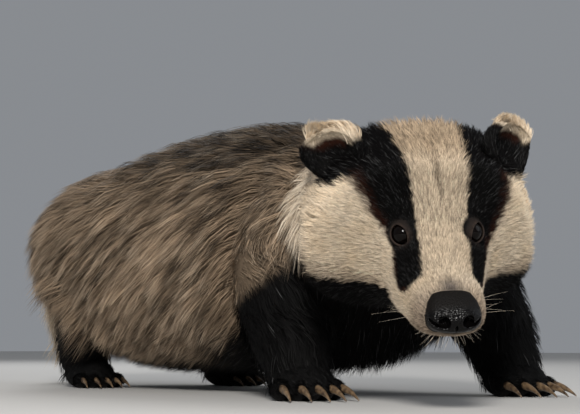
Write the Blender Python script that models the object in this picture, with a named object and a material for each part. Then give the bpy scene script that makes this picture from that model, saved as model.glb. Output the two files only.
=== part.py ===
"""European badger, a life-size still model: standing low, the head lowered and turned to its right.

The torso lies along Y with the animal facing -Y, +X is its left side and Z is up. Metres.
"""

import math
import random

import bmesh
import bpy
import numpy as np
from mathutils import Euler, Matrix, Vector
from mathutils.bvhtree import BVHTree

for old in list(bpy.data.objects):
    bpy.data.objects.remove(old)

MM = 0.001

# Gap that neighbouring pieces keep, and the most that a sharp corner of a room is moved, as a share of it
SEAM, HALF_SEAM, SHARPEST = 0.0003, 0.00015, 1.6
# How much of the coat's depth the solid core takes up
CORE_SHARE = 0.42

# The head is built round its nose tip, facing -Y, and then set at this place and turn
NOSE_TIP = Vector((-0.153, -0.199, 0.050))
HEAD_YAW, HEAD_PITCH, HEAD_ROLL = math.radians(-35.5), math.radians(40), math.radians(-3)
HEAD_LENGTH = 0.150
HEAD_SIDES = 28

# Cross sections of the head, in millimetres back from the nose tip:
# back, half width, top, bottom, level of the widest point, squareness, coat depth
HEAD_SECTIONS = (
    (2, 12.5, 9, -5.0, 1, 2.2, 1),
    (9, 17.5, 12.5, -9.8, 0, 2.4, 2),
    (22, 20.5, 14.5, -17, -3, 2.5, 3),
    (38, 23, 18, -23.5, -6, 2.6, 3),
    (55, 29.5, 26, -29, -6, 2.8, 3),
    (70, 37.5, 35, -35, -10, 2.6, 4),
    (87, 51, 43, -42, -12, 2.6, 10),
    (104, 62, 46, -50, -12, 2.6, 14),
    (122, 67, 46, -57, -10, 2.7, 16),
    (156, 65, 44, -62, -8, 2.5, 16),
)

# Swellings and hollows of the head, mirrored left and right: centre, reach and rise, in millimetres
HEAD_SWELLS = (
    ((22, 42, 14), 9, -2.6),
    ((28, 66, 26), 8, -3.6),
    ((24, 76, 33), 8, 1.6),
    ((60, 108, -30), 24, 7.0),
    ((16, 20, -6), 10, 1.5),
    ((30, 72, -2), 13, -2.0),
)

EYE_CENTRE = Vector((22.0, 69.0, 24.0)) * MM
EYE_FACING = Vector((0.80, -0.52, 0.30)).normalized()
EYE_RADIUS = 0.0074
LID_HALF_WIDTH, LID_HALF_HEIGHT, LID_THICK = 0.0069, 0.0056, 0.0017

NOSE_SECTIONS = (
    (-3.2, 7.0, 5.2, 1.0, 3.2, 2.2),
    (-1.0, 12.5, 8.8, -1.4, 3.5, 2.3),
    (3.5, 16.2, 12.2, -4.8, 3.5, 2.5),
    (9.0, 17.2, 14.3, -8.0, 3, 2.6),
    (15.0, 16.0, 15.8, -8.0, 3, 2.4),
    (20.0, 12.0, 16.2, -3.0, 5, 2.2),
)
# Nostrils: centre of the left one, its half sizes, then the slit beside it; and the groove between them
NOSTRIL, NOSTRIL_HALF = Vector((7.4, -0.2, 6.6)) * MM, Vector((3.4, 7.0, 3.3)) * MM
SLIT_SHIFT, SLIT_HALF = Vector((6.0, 1.5, -1.4)) * MM, Vector((5.2, 5.0, 1.2)) * MM
GROOVE, GROOVE_HALF = Vector((0, -3.0, 1.5)) * MM, Vector((0.7, 2.4, 5.5)) * MM
NOSTRIL_TURN = Vector((0, -20, -14))

# The mouth line, then the back of the lower jaw, as a side view in millimetres (back, up)
JAW_OUTLINE = (
    (-12, -8.2), (6, -9.4), (20, -12.4), (34, -16.6), (47, -21.0), (53, -26), (60, -75), (-12, -75),
)
JAW_BACK = 0.047
MOUTH_GAP = 0.0008
CHIN_SETBACK, CHIN_NARROWING = 0.0018, 0.10

# Ears: half sizes across, through and up of the shell and of its cup, then each one's centre and turn
EAR_HALF = Vector((27, 10, 25)) * MM
EAR_CUP_HALF = Vector((22.5, 12, 20.5)) * MM
EAR_CUP_SHIFT, EAR_ROOM = 0.0085, 0.040
EAR_CENTRES = {"left": Vector((62, 138, 43.5)) * MM, "right": Vector((-61, 135, 40)) * MM}
EAR_TURNS = {"left": (-38, 14, 40), "right": (-38, -30, -16)}

# Trunk stations from the head's back plane to the rump:
# centre x, y, z, yaw and pitch of the section in degrees, half width, rise, drop, squareness, coat depth
TRUNK_STATIONS = (
    (-0.0842, -0.1026, 0.1422, -35.5, 40, 0.064, 0.050, 0.058, 2.2, 0.014),
    (-0.0430, -0.0560, 0.1350, -26.0, 24, 0.076, 0.055, 0.070, 2.2, 0.018),
    (-0.0030, 0.0050, 0.1270, -7.0, 8, 0.088, 0.072, 0.082, 2.2, 0.022),
    (0.0, 0.1000, 0.1270, 0.0, 0, 0.097, 0.087, 0.086, 2.2, 0.027),
    (0.0, 0.1950, 0.1270, 0.0, 0, 0.104, 0.086, 0.086, 2.2, 0.030),
    (0.0, 0.2850, 0.1290, 0.0, 0, 0.104, 0.071, 0.084, 2.2, 0.032),
    (0.0, 0.3500, 0.1290, 0.0, -4, 0.097, 0.072, 0.074, 2.2, 0.031),
    (0.0, 0.4010, 0.1270, 0.0, -10, 0.077, 0.060, 0.064, 2.1, 0.028),
    (0.0, 0.4310, 0.1230, 0.0, -16, 0.044, 0.038, 0.044, 2.0, 0.024),
)
TRUNK_SIDES = 32
NECK_STATION = 0.95
BELLY_SHARE = 0.9

# Tail: centre line and half thickness of its flesh, then its coat depth
TAIL_POINTS = ((0.0, 0.412, 0.140), (0.0, 0.452, 0.122), (0.004, 0.486, 0.094), (0.008, 0.504, 0.064))
TAIL_RADII = (0.024, 0.021, 0.016, 0.009)
TAIL_COAT = 0.020
UNDER_TAIL, UNDER_TAIL_REACH = Vector((0, 0.415, 0.065)), 0.042

# Legs: centre line from inside the body to the paw, and radii. Upper ends are sunk in the trunk
FRONT_LEG = {
    "left": (
        (0.056, -0.004, 0.140), (0.078, -0.018, 0.098), (0.088, -0.038, 0.062), (0.090, -0.052, 0.030),
    ),
    "right": (
        (-0.066, 0.022, 0.140), (-0.082, 0.034, 0.098), (-0.092, 0.024, 0.062), (-0.092, 0.010, 0.030),
    ),
}
FRONT_RADII = (0.046, 0.042, 0.033, 0.027)
HIND_LEG = {
    "left": (
        (0.046, 0.335, 0.130), (0.068, 0.290, 0.098), (0.074, 0.307, 0.060), (0.076, 0.310, 0.028),
    ),
    "right": (
        (-0.046, 0.345, 0.130), (-0.070, 0.312, 0.098), (-0.066, 0.350, 0.060), (-0.060, 0.364, 0.028),
    ),
}
HIND_RADII = (0.056, 0.050, 0.031, 0.024)
LEG_SIDES = 14
LEG_ROOM = 0.009
BODY_TRIANGLES, PAW_TRIANGLES = 1900, 340
FOOT_TOPS = {"front": 0.033, "hind": 0.036}

# Paws: palm centre relative to the leg's last point, toe row, and claws
PAW_KINDS = {
    "front": {"palm": (0.026, 0.026, 0.017), "ahead": 0.010, "toe_reach": 0.030, "toe_pitch": 0.0112,
              "toe_radius": 0.0082, "toe_length": 0.014, "claw": 0.026, "claw_radius": 0.0036},
    "hind": {"palm": (0.022, 0.034, 0.016), "ahead": 0.014, "toe_reach": 0.044, "toe_pitch": 0.0096,
             "toe_radius": 0.0072, "toe_length": 0.012, "claw": 0.018, "claw_radius": 0.0029},
}
PAW_HEADINGS = {"front_left": -16, "front_right": -20, "hind_left": 2, "hind_right": -8}
TOES, TOE_ROW_CURVE, TOE_FAN = 5, 0.0022, 4
PALM_HEIGHT, TOE_LEVEL, TOE_NARROWING = 0.013, 0.95, 0.74
# Claws: how they narrow and drop along their length, and the heights of tip and lowest point
CLAW_SIDES, CLAW_RINGS = 5, 4
CLAW_NARROWING, CLAW_TAPER, CLAW_DROP, CLAW_FLATNESS = 0.82, 1.4, 2.2, 0.78
CLAW_TIP_HEIGHT, CLAW_CLEARANCE = 0.0012, 0.0006
CLAW_ROOT_BACK, CLAW_ROOT_RISE = 0.55, 0.0012

FLOOR_CLEARANCE = 0.006
# Locks of the coat: spacing of their roots, full width and length, how deep the root is sunk, thickness,
# the coat's depth there, and the lowest point that a lock may reach
LOCKS = {
    "torso": {"spacing": 0.056, "width": 0.060, "length": 0.098, "sink": 0.009, "thick": 0.0085,
              "coat": 0.031, "seed": 12, "lowest": FLOOR_CLEARANCE},
    "neck": {"spacing": 0.038, "width": 0.042, "length": 0.062, "sink": 0.008, "thick": 0.0070,
             "coat": 0.019, "seed": 11, "lowest": FLOOR_CLEARANCE},
    "head": {"spacing": 0.030, "width": 0.032, "length": 0.042, "sink": 0.006, "thick": 0.0050,
             "coat": 0.016, "seed": 11, "lowest": -HEAD_LENGTH},
    "tail": {"spacing": 0.030, "width": 0.030, "length": 0.046, "sink": 0.007, "thick": 0.0070,
             "coat": 0.022, "seed": 11, "lowest": FLOOR_CLEARANCE},
}
# A lock is a flat four-sided blade: its rings sit at these shares of its length, with these shares of
# its width, its thickness and the height of its coat
LOCK_RINGS = ((0.0, 0.60, 0.8, -1.0), (0.33, 1.0, 1.0, 0.0), (0.72, 0.72, 0.65, 0.60))
LOCK_TIP_HEIGHT = 1.05
LOCK_VARIATION, LOCK_DRIFT = 0.14, 0.22
LIE_DROP = 0.55
ROOT_MARGIN, LOWEST_ROOT = 0.008, 0.040

FUR_GREY, FUR_BLACK = (0.30, 0.27, 0.24), (0.025, 0.022, 0.021)
FUR_WHITE, HORN, NOSE_BLACK = (0.78, 0.72, 0.62), (0.20, 0.16, 0.12), (0.012, 0.011, 0.012)


def material(name, colour, roughness):
    made = bpy.data.materials.new(name)
    made.use_nodes = True
    shader = made.node_tree.nodes["Principled BSDF"]
    shader.inputs["Base Color"].default_value = (*colour, 1)
    shader.inputs["Roughness"].default_value = roughness
    return made


MATERIALS = {
    "grey_coat": material("grey_coat", FUR_GREY, 0.9),
    "black_coat": material("black_coat", FUR_BLACK, 0.85),
    "white_coat": material("white_coat", FUR_WHITE, 0.9),
    "horn": material("horn", HORN, 0.45),
    "nose_leather": material("nose_leather", NOSE_BLACK, 0.35),
    "eye": material("eye", NOSE_BLACK, 0.05),
}


def new_object(name, mesh):
    made = bpy.data.objects.new(name, mesh)
    bpy.context.scene.collection.objects.link(made)
    return made


def face_outward(shape):
    shape.normal_update()
    bmesh.ops.recalc_face_normals(shape, faces=shape.faces)
    if shape.calc_volume(signed=True) < 0:
        bmesh.ops.reverse_faces(shape, faces=shape.faces)


def object_of(name, shape):
    """An object from a bmesh, which is freed."""
    face_outward(shape)
    mesh = bpy.data.meshes.new(name)
    shape.to_mesh(mesh)
    shape.free()
    return new_object(name, mesh)


def spline(rows, steps):
    """Rows of numbers read along a Catmull-Rom curve through them, with this many steps a span."""
    rows = np.array(rows, float)
    ends = np.vstack([2 * rows[0] - rows[1], rows, 2 * rows[-1] - rows[-2]])
    found = []
    for i in range(len(rows) - 1):
        a, b, c, d = ends[i : i + 4]
        for t in np.arange(steps) / steps:
            second, third = 2 * a - 5 * b + 4 * c - d, 3 * b - a - 3 * c + d
            found.append(0.5 * (2 * b + (c - a) * t + second * t**2 + third * t**3))
    return np.array([*found, rows[-1]])


def oval(half_width, top, bottom, level, squareness, sides):
    """Points (x, z) round a squared oval whose widest point is at this level."""
    points = []
    for i in range(sides):
        angle = 2 * math.pi * i / sides
        c, s = math.cos(angle), math.sin(angle)
        x = half_width * math.copysign(abs(c) ** (2 / squareness), c)
        reach = top - level if s > 0 else level - bottom
        points.append((x, level + reach * math.copysign(abs(s) ** (2 / squareness), s)))
    return points


def loft(name, rings):
    """A closed skin over rings of points, with flat ends."""
    shape = bmesh.new()
    rows = [[shape.verts.new(p) for p in ring] for ring in rings]
    for near, far in zip(rows, rows[1:]):
        for i in range(len(near)):
            j = (i + 1) % len(near)
            shape.faces.new((near[i], near[j], far[j], far[i]))
    shape.faces.new(rows[0])
    shape.faces.new(rows[-1])
    return object_of(name, shape)


def tube(name, points, radii, sides=LEG_SIDES, steps=4):
    """A round limb along a smooth line, thick as radii say, with domed ends."""
    path = spline([(*p, r) for p, r in zip(points, radii)], steps)
    rings = []
    for i, (x, y, z, radius) in enumerate(path):
        along = Vector(path[min(i + 1, len(path) - 1)][:3]) - Vector(path[max(i - 1, 0)][:3])
        turn = along.to_track_quat("Z", "Y").to_matrix()
        rings.append([
            Vector((x, y, z)) + turn @ Vector((math.cos(a) * radius, math.sin(a) * radius, 0))
            for a in (2 * math.pi * k / sides for k in range(sides))
        ])
    first, last = rings[0], rings[-1]
    dome = [0.75, 0.45]
    for ring, at, into in ((first, path[0], path[1]), (last, path[-1], path[-2])):
        centre, back = Vector(at[:3]), (Vector(at[:3]) - Vector(into[:3])).normalized()
        for k, share in enumerate(dome):
            rise = math.sqrt(1 - share**2) * at[3] * 0.8
            extra = [centre + (p - centre) * share + back * rise for p in ring]
            if ring is first:
                rings.insert(0, extra)
            else:
                rings.append(extra)
    return loft(name, rings)


def ellipsoid(name, centre, half_sizes, turn=None, rings=10, sides=16):
    shape = bmesh.new()
    bmesh.ops.create_uvsphere(shape, u_segments=sides, v_segments=rings, radius=1)
    place = Matrix.Translation(centre) @ (turn.to_4x4() if turn else Matrix.Identity(4))
    shape.transform(place @ Matrix.Diagonal((*half_sizes, 1)))
    return object_of(name, shape)


def block(name, low, high):
    shape = bmesh.new()
    bmesh.ops.create_cube(shape, size=1)
    low, high = Vector(low), Vector(high)
    shape.transform(Matrix.Translation((low + high) / 2) @ Matrix.Diagonal((*(high - low), 1)))
    return object_of(name, shape)


def apply_modifiers(obj):
    graph = bpy.context.evaluated_depsgraph_get()
    mesh = bpy.data.meshes.new_from_object(obj.evaluated_get(graph))
    obj.modifiers.clear()
    old, obj.data = obj.data, mesh
    bpy.data.meshes.remove(old)
    return obj


def copy_of(obj, name):
    return new_object(name, obj.data.copy())


def grown(obj, by=SEAM):
    """A copy pushed out along its normals, as the room that its neighbours leave it."""
    copy = copy_of(obj, "room")
    shape = bmesh.new()
    shape.from_mesh(copy.data)
    shape.normal_update()
    moves = [v.normal * by * min(v.calc_shell_factor(), SHARPEST) for v in shape.verts]
    for vertex, move in zip(shape.verts, moves):
        vertex.co += move
    shape.to_mesh(copy.data)
    shape.free()
    return copy


def combine(obj, others, operation, solver="EXACT"):
    """One Boolean between obj and all the others, which are then removed."""
    pieces = bpy.data.collections.new("pieces")
    bpy.context.scene.collection.children.link(pieces)
    for other in others:
        pieces.objects.link(other)
    boolean = obj.modifiers.new(operation.lower(), "BOOLEAN")
    boolean.operation, boolean.solver = operation, solver
    boolean.operand_type, boolean.collection = "COLLECTION", pieces
    apply_modifiers(obj)
    for other in others:
        mesh = other.data
        bpy.data.objects.remove(other)
        bpy.data.meshes.remove(mesh)
    bpy.data.collections.remove(pieces)
    return obj


def cut_by_plane(obj, point, outward):
    """Takes off what lies beyond the plane and closes the cut."""
    shape = bmesh.new()
    shape.from_mesh(obj.data)
    everything = shape.verts[:] + shape.edges[:] + shape.faces[:]
    cut = bmesh.ops.bisect_plane(
        shape, geom=everything, dist=1e-6, plane_co=point, plane_no=outward, clear_outer=True
    )
    edges = [e for e in cut["geom_cut"] if isinstance(e, bmesh.types.BMEdge)]
    bmesh.ops.holes_fill(shape, edges=edges, sides=0)
    bmesh.ops.triangulate(shape, faces=shape.faces)
    face_outward(shape)
    shape.to_mesh(obj.data)
    shape.free()
    return obj


def keep_largest(obj):
    """Keeps the closed surface that holds the most, so that a loose scrap or a sealed hollow goes."""
    shape = bmesh.new()
    shape.from_mesh(obj.data)
    bmesh.ops.triangulate(shape, faces=shape.faces)
    unseen, groups = set(shape.verts), []
    while unseen:
        group, front = set(), [unseen.pop()]
        while front:
            vertex = front.pop()
            group.add(vertex)
            for edge in vertex.link_edges:
                other = edge.other_vert(vertex)
                if other in unseen:
                    unseen.remove(other)
                    front.append(other)
        groups.append(group)

    def held(group):
        faces = {f for v in group for f in v.link_faces}
        return sum(f.verts[0].co.dot(f.verts[1].co.cross(f.verts[2].co)) for f in faces)

    best = max(groups, key=held)
    bmesh.ops.delete(shape, geom=[v for v in shape.verts if v not in best], context="VERTS")
    shape.to_mesh(obj.data)
    shape.free()
    return obj


def blended(name, pieces, voxel, smoothing, triangles):
    """The pieces grown together into one smooth body of about this many triangles."""
    shape = bmesh.new()
    for piece in pieces:
        shape.from_mesh(piece.data)
        bpy.data.objects.remove(piece)
    body = object_of(name, shape)
    remesh = body.modifiers.new("grow_together", "REMESH")
    remesh.mode, remesh.voxel_size = "VOXEL", voxel
    smooth = body.modifiers.new("smooth", "SMOOTH")
    smooth.factor, smooth.iterations = 0.5, smoothing
    apply_modifiers(body)
    body.data.calc_loop_triangles()
    thin = body.modifiers.new("fewer", "DECIMATE")
    thin.ratio = min(1, triangles / len(body.data.loop_triangles))
    apply_modifiers(body)
    return body


def finish(obj, name, finish_name):
    obj.name = name
    obj.data.materials.clear()
    obj.data.materials.append(MATERIALS[finish_name])
    obj.data.shade_smooth()
    obj.data.set_sharp_from_angle(angle=math.radians(35))
    return obj


HEAD_TURN = Euler((0, 0, HEAD_YAW)).to_matrix() @ Euler((HEAD_PITCH, 0, 0)).to_matrix()
HEAD_TURN = HEAD_TURN @ Euler((0, HEAD_ROLL, 0)).to_matrix()
HEAD_PLACE = Matrix.Translation(NOSE_TIP) @ HEAD_TURN.to_4x4()


def swelled(point):
    """A point of the head moved by the swellings and hollows near it."""
    moved = Vector(point)
    middle = Vector((0, point[1], -6 * MM))
    outward = (moved - middle).normalized()
    for centre, reach, rise in HEAD_SWELLS:
        for side in (1, -1):
            spot = Vector((centre[0] * side, centre[1], centre[2])) * MM
            moved += outward * rise * MM * math.exp(-(((Vector(point) - spot).length / (reach * MM)) ** 2))
    return moved


def head_form(share, steps=2, sides=HEAD_SIDES):
    """The head and muzzle without ears, with this share of its coat, round its own nose tip."""
    rings = []
    for back, half, top, bottom, level, square, coat in spline(HEAD_SECTIONS, steps):
        more = coat * share
        outline = oval(half + more, top + more, bottom - more, level, square, sides)
        rings.append([swelled(Vector((x, back, z)) * MM) for x, z in outline])
    return loft("head", rings)


def eye_frame(side):
    """Centre of an eye in the head, and a turn whose Z looks out of it and X runs along the lids."""
    centre = Vector((EYE_CENTRE.x * side, EYE_CENTRE.y, EYE_CENTRE.z))
    facing = Vector((EYE_FACING.x * side, EYE_FACING.y, EYE_FACING.z))
    along = Vector((0, -1, -0.25)).cross(facing).cross(facing).normalized()
    return centre, Matrix((along, facing.cross(along), facing)).transposed()


def lid_ring(side):
    """Both lids of an eye as one almond-shaped ring that lies on the eyeball."""
    centre, turn = eye_frame(side)
    shape = bmesh.new()
    around, section = 16, 6
    rings = []
    for i in range(around):
        a = 2 * math.pi * i / around
        narrow = 1 - 0.16 * math.cos(a) ** 2
        x, y = LID_HALF_WIDTH * math.cos(a), LID_HALF_HEIGHT * math.sin(a) * narrow
        out = Vector((x, y, 0)).normalized()
        lift = math.sqrt(max(EYE_RADIUS**2 - x * x - y * y, (0.3 * EYE_RADIUS) ** 2))
        rings.append([
            shape.verts.new(centre + turn @ (Vector((x, y, lift * 0.96))
                + out * LID_THICK * 1.25 * math.cos(b) + Vector((0, 0, LID_THICK * 0.8 * math.sin(b)))))
            for b in (2 * math.pi * k / section for k in range(section))
        ])
    for i in range(around):
        near, far = rings[i], rings[(i + 1) % around]
        for k in range(section):
            m = (k + 1) % section
            shape.faces.new((near[k], near[m], far[m], far[k]))
    return object_of("lids", shape)


def nose_form():
    rings = []
    for back, half, top, bottom, level, square in spline(NOSE_SECTIONS, 1):
        rings.append([Vector((x, back, z)) * MM for x, z in oval(half, top, bottom, level, square, 20)])
    nose = loft("nose", rings)
    cutters = []
    for side in (1, -1):
        hole, shift = Vector(NOSTRIL), Vector(SLIT_SHIFT)
        hole.x *= side
        shift.x *= side
        turn = Euler([math.radians(a * side) for a in NOSTRIL_TURN]).to_matrix()
        cutters.append(ellipsoid("nostril", hole, NOSTRIL_HALF, turn, 5, 8))
        cutters.append(ellipsoid("slit", hole + shift, SLIT_HALF, turn, 5, 8))
    groove = ellipsoid("groove", GROOVE, GROOVE_HALF, None, 5, 8)
    return keep_largest(combine(nose, [*cutters, groove], "DIFFERENCE"))


def ear_form(side_name):
    """A rounded ear with its open cup to the front, sunk in the head."""
    turn = Euler([math.radians(a) for a in EAR_TURNS[side_name]]).to_matrix()
    centre = EAR_CENTRES[side_name]
    ear = ellipsoid("ear", centre, EAR_HALF, turn, 9, 16)
    hollow = centre + turn @ Vector((0, -EAR_CUP_SHIFT, 0.001))
    cup = ellipsoid("cup", hollow, EAR_CUP_HALF, turn, 8, 16)
    return combine(ear, [cup], "DIFFERENCE")


def jaw_block(inset):
    """The space of the lower jaw, seen from the side and run across the head."""
    outline = [Vector(p) * MM for p in JAW_OUTLINE]
    middle = sum(outline, Vector((0, 0))) / len(outline)
    shape = bmesh.new()
    rings = []
    for x in (-0.06, 0.06):
        rings.append([
            shape.verts.new((x, p.x, p.y)) for p in (q + (q - middle).normalized() * inset for q in outline)
        ])
    for i in range(len(outline)):
        j = (i + 1) % len(outline)
        shape.faces.new((rings[0][i], rings[0][j], rings[1][j], rings[1][i]))
    shape.faces.new(rings[0])
    shape.faces.new(rings[1])
    return object_of("jaw_space", shape)


def surface_tree(obj):
    shape = bmesh.new()
    shape.from_mesh(obj.data)
    tree = BVHTree.FromBMesh(shape)
    shape.free()
    return tree


def spread_roots(obj, size, wanted):
    """Points spread over the wanted part of a surface, at least this far apart, and always the same."""
    draw, spacing = random.Random(size["seed"]), size["spacing"]
    mesh = obj.data
    mesh.calc_loop_triangles()
    corners = [[mesh.vertices[i].co for i in t.vertices] for t in mesh.loop_triangles]
    areas = [t.area for t in mesh.loop_triangles]
    roots = []
    for _ in range(int(14 * sum(areas) / spacing**2)):
        a, b, c = draw.choices(corners, areas)[0]
        u, v = sorted((draw.random(), draw.random()))
        point = a * u + b * (v - u) + c * (1 - v)
        if wanted(point) and all((point - other).length > spacing for other in roots):
            roots.append(point)
    return roots


def lock(tree, root, lie_at, size, draw):
    """One flat tapered lock that leaves the core at its root and follows it along the coat's lie."""
    long = size["length"] * (1 + LOCK_VARIATION * draw.uniform(-1, 1))
    wide = size["width"] * (1 + LOCK_VARIATION * draw.uniform(-1, 1))
    lift = (1 - CORE_SHARE) * size["coat"] * (1 + LOCK_VARIATION * draw.uniform(-1, 1))
    drift = LOCK_DRIFT * draw.uniform(-1, 1)
    frames, point, before = [], root, 0.0
    for share in (*(ring[0] for ring in LOCK_RINGS), 1.0):
        ahead = lie_at(point).normalized()
        near, normal, _, _ = tree.find_nearest(point)
        ahead = (ahead - normal * ahead.dot(normal)).normalized()
        ahead = (ahead + normal.cross(ahead) * drift * share).normalized()
        near, normal, _, _ = tree.find_nearest(near + ahead * long * (share - before))
        frames.append((near, normal, normal.cross(ahead)))
        point, before = near, share
    rings = []
    for (near, normal, across), (_, width, thickness, height) in zip(frames, LOCK_RINGS):
        rise = lift * height if height > 0 else size["sink"] * height
        centre, half, thick = near + normal * rise, wide * width / 2, size["thick"] * thickness / 2
        side, up = across * half, normal * thick
        rings.append([centre + side, centre + up, centre - side, centre - up])
    near, normal, _ = frames[-1]
    tip = near + normal * lift * LOCK_TIP_HEIGHT
    shape = bmesh.new()
    rows = []
    for ring in rings:
        rows.append([shape.verts.new((p.x, p.y, max(p.z, size["lowest"]))) for p in ring])
    for near_row, far_row in zip(rows, rows[1:]):
        for i in range(4):
            shape.faces.new((near_row[i], near_row[(i + 1) % 4], far_row[(i + 1) % 4], far_row[i]))
    shape.faces.new(rows[0])
    end = shape.verts.new((tip.x, tip.y, max(tip.z, size["lowest"])))
    for i in range(4):
        shape.faces.new((rows[-1][i], rows[-1][(i + 1) % 4], end))
    bmesh.ops.triangulate(shape, faces=shape.faces)
    return object_of("lock", shape)


def add_locks(obj, kind, lie_at, wanted):
    """Joins a coat of locks to a solid."""
    size, tree = LOCKS[kind], surface_tree(obj)
    draw = random.Random(size["seed"])
    locks = [lock(tree, root, lie_at, size, draw) for root in spread_roots(obj, size, wanted)]
    return keep_largest(combine(obj, locks, "UNION", "MANIFOLD"))


def on_cheek(point):
    """The part of the head, round its nose tip, whose hair stands in locks that end clear of the ears."""
    low = point.y > 0.090 and point.z < 0.026
    crown = point.y > 0.112 and abs(point.x) < 0.034 and point.z > 0
    path = [point + Vector((0, LOCKS["head"]["length"] * share, 0)) for share in (0, 0.5, 1)]
    clear = all((p - centre).length > EAR_ROOM for p in path for centre in EAR_CENTRES.values())
    return point.y < HEAD_LENGTH - 0.006 and (low or crown) and clear


def build_head():
    """Head, lower jaw, nose, eyes and ears, at their place in the body."""
    head = head_form(CORE_SHARE)
    jaw = copy_of(head, "lower_jaw")
    combine(jaw, [jaw_block(0)], "INTERSECT")
    for vertex in jaw.data.vertices:
        forward = max(0.0, 1 - vertex.co.y / JAW_BACK)
        vertex.co.x *= 1 - CHIN_NARROWING * forward
        vertex.co.y += CHIN_SETBACK * forward
    combine(head, [jaw_block(MOUTH_GAP)], "DIFFERENCE")
    nose = nose_form()
    combine(jaw, [grown(nose)], "DIFFERENCE")
    keep_largest(jaw)
    combine(head, [lid_ring(1), lid_ring(-1)], "UNION")
    eyes = {}
    for side_name, side in (("left", 1), ("right", -1)):
        centre, turn = eye_frame(side)
        eyes[side_name] = ellipsoid("eye", centre, (EYE_RADIUS,) * 3, turn, 8, 12)
    rooms = [grown(nose), *(grown(eye) for eye in eyes.values())]
    combine(head, rooms, "DIFFERENCE")
    keep_largest(head)
    ears = {}
    for side_name in ("left", "right"):
        ears[side_name] = keep_largest(combine(ear_form(side_name), [grown(head, HALF_SEAM)], "DIFFERENCE"))
    add_locks(head, "head", lambda point: Vector((0, 1, -0.25)), on_cheek)
    cut_by_plane(head, Vector((0, HEAD_LENGTH, 0)), Vector((0, 1, 0)))
    keep_largest(head)
    for piece in (head, jaw, nose, *eyes.values(), *ears.values()):
        piece.data.transform(HEAD_PLACE)
    finish(head, "head", "white_coat")
    finish(jaw, "lower_jaw", "white_coat")
    finish(nose, "nose", "nose_leather")
    for side_name in ("left", "right"):
        finish(eyes[side_name], f"eye_{side_name}", "eye")
        finish(ears[side_name], f"ear_{side_name}", "black_coat")
    return list(ears.values())


def trunk_row(rows, at):
    """The trunk's numbers at a station that may lie between two of the table's."""
    low = int(at)
    share = at - low
    return np.array(rows[low]) * (1 - share) + np.array(rows[min(low + 1, len(rows) - 1)]) * share


def trunk_ring(row, share):
    x, y, z, yaw, pitch, half, rise, drop, square, coat = row
    more = coat * share
    turn = Euler((0, 0, math.radians(yaw))).to_matrix() @ Euler((math.radians(pitch), 0, 0)).to_matrix()
    outline = oval(half + more, rise + more, -drop - more * BELLY_SHARE, 0, square, TRUNK_SIDES)
    return [Vector((x, y, z)) + turn @ Vector((u, 0, w)) for u, w in outline]


TRUNK_CURVE = spline(TRUNK_STATIONS, 6)


def plane_of(row):
    """A point and the backward normal of a trunk section's plane."""
    turn = Euler((0, 0, math.radians(row[3]))).to_matrix() @ Euler((math.radians(row[4]), 0, 0)).to_matrix()
    return Vector(row[:3]), turn @ Vector((0, 1, 0))


def leg_space(points, radii, gap=0.0):
    """The room of a leg below the body: round it, domed at the top and open below."""
    room = radii[2] + LEG_ROOM + gap
    under = Vector(points[3]) - Vector((0, 0, 0.05))
    return tube("leg_space", (points[2], under), (room, room), steps=1)


LEGS = {
    **{f"front_{name}": ("front", points, FRONT_RADII) for name, points in FRONT_LEG.items()},
    **{f"hind_{name}": ("hind", points, HIND_RADII) for name, points in HIND_LEG.items()},
}


def leg_tubes():
    return [tube("leg", points, radii) for _, points, radii in LEGS.values()]


def foot_space(kind, points, radii):
    """The room of a foot and of the shank above it, up to the leg's own lower end."""
    room = radii[2] + LEG_ROOM
    low, high = Vector(points[3]) - Vector((room, room, 0.06)), Vector(points[3]) + Vector((room, room, 0))
    high.z = FOOT_TOPS[kind] + SEAM
    return block("foot_space", low, high)


def tail_form(body):
    tail = tube("tail", TAIL_POINTS, [r + TAIL_COAT * CORE_SHARE for r in TAIL_RADII], 14, 3)
    return keep_largest(combine(tail, [grown(body, HALF_SEAM)], "DIFFERENCE"))


def lie_on_tail(point):
    nearest = min(range(len(TAIL_POINTS) - 1), key=lambda i: (Vector(TAIL_POINTS[i]) - point).length)
    return Vector(TAIL_POINTS[nearest + 1]) - Vector(TAIL_POINTS[nearest])


def lie_on_trunk(point):
    """The way the coat lies on the trunk: back along it, and down its sides."""
    row = min(TRUNK_CURVE, key=lambda r: (Vector(r[:3]) - point).length)
    centre, back = plane_of(row)
    side = point - centre
    side -= back * side.dot(back)
    share = math.hypot(side.x, side.y) / max(side.length, MM)
    return back + Vector((0, 0, -LIE_DROP * share))


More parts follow.
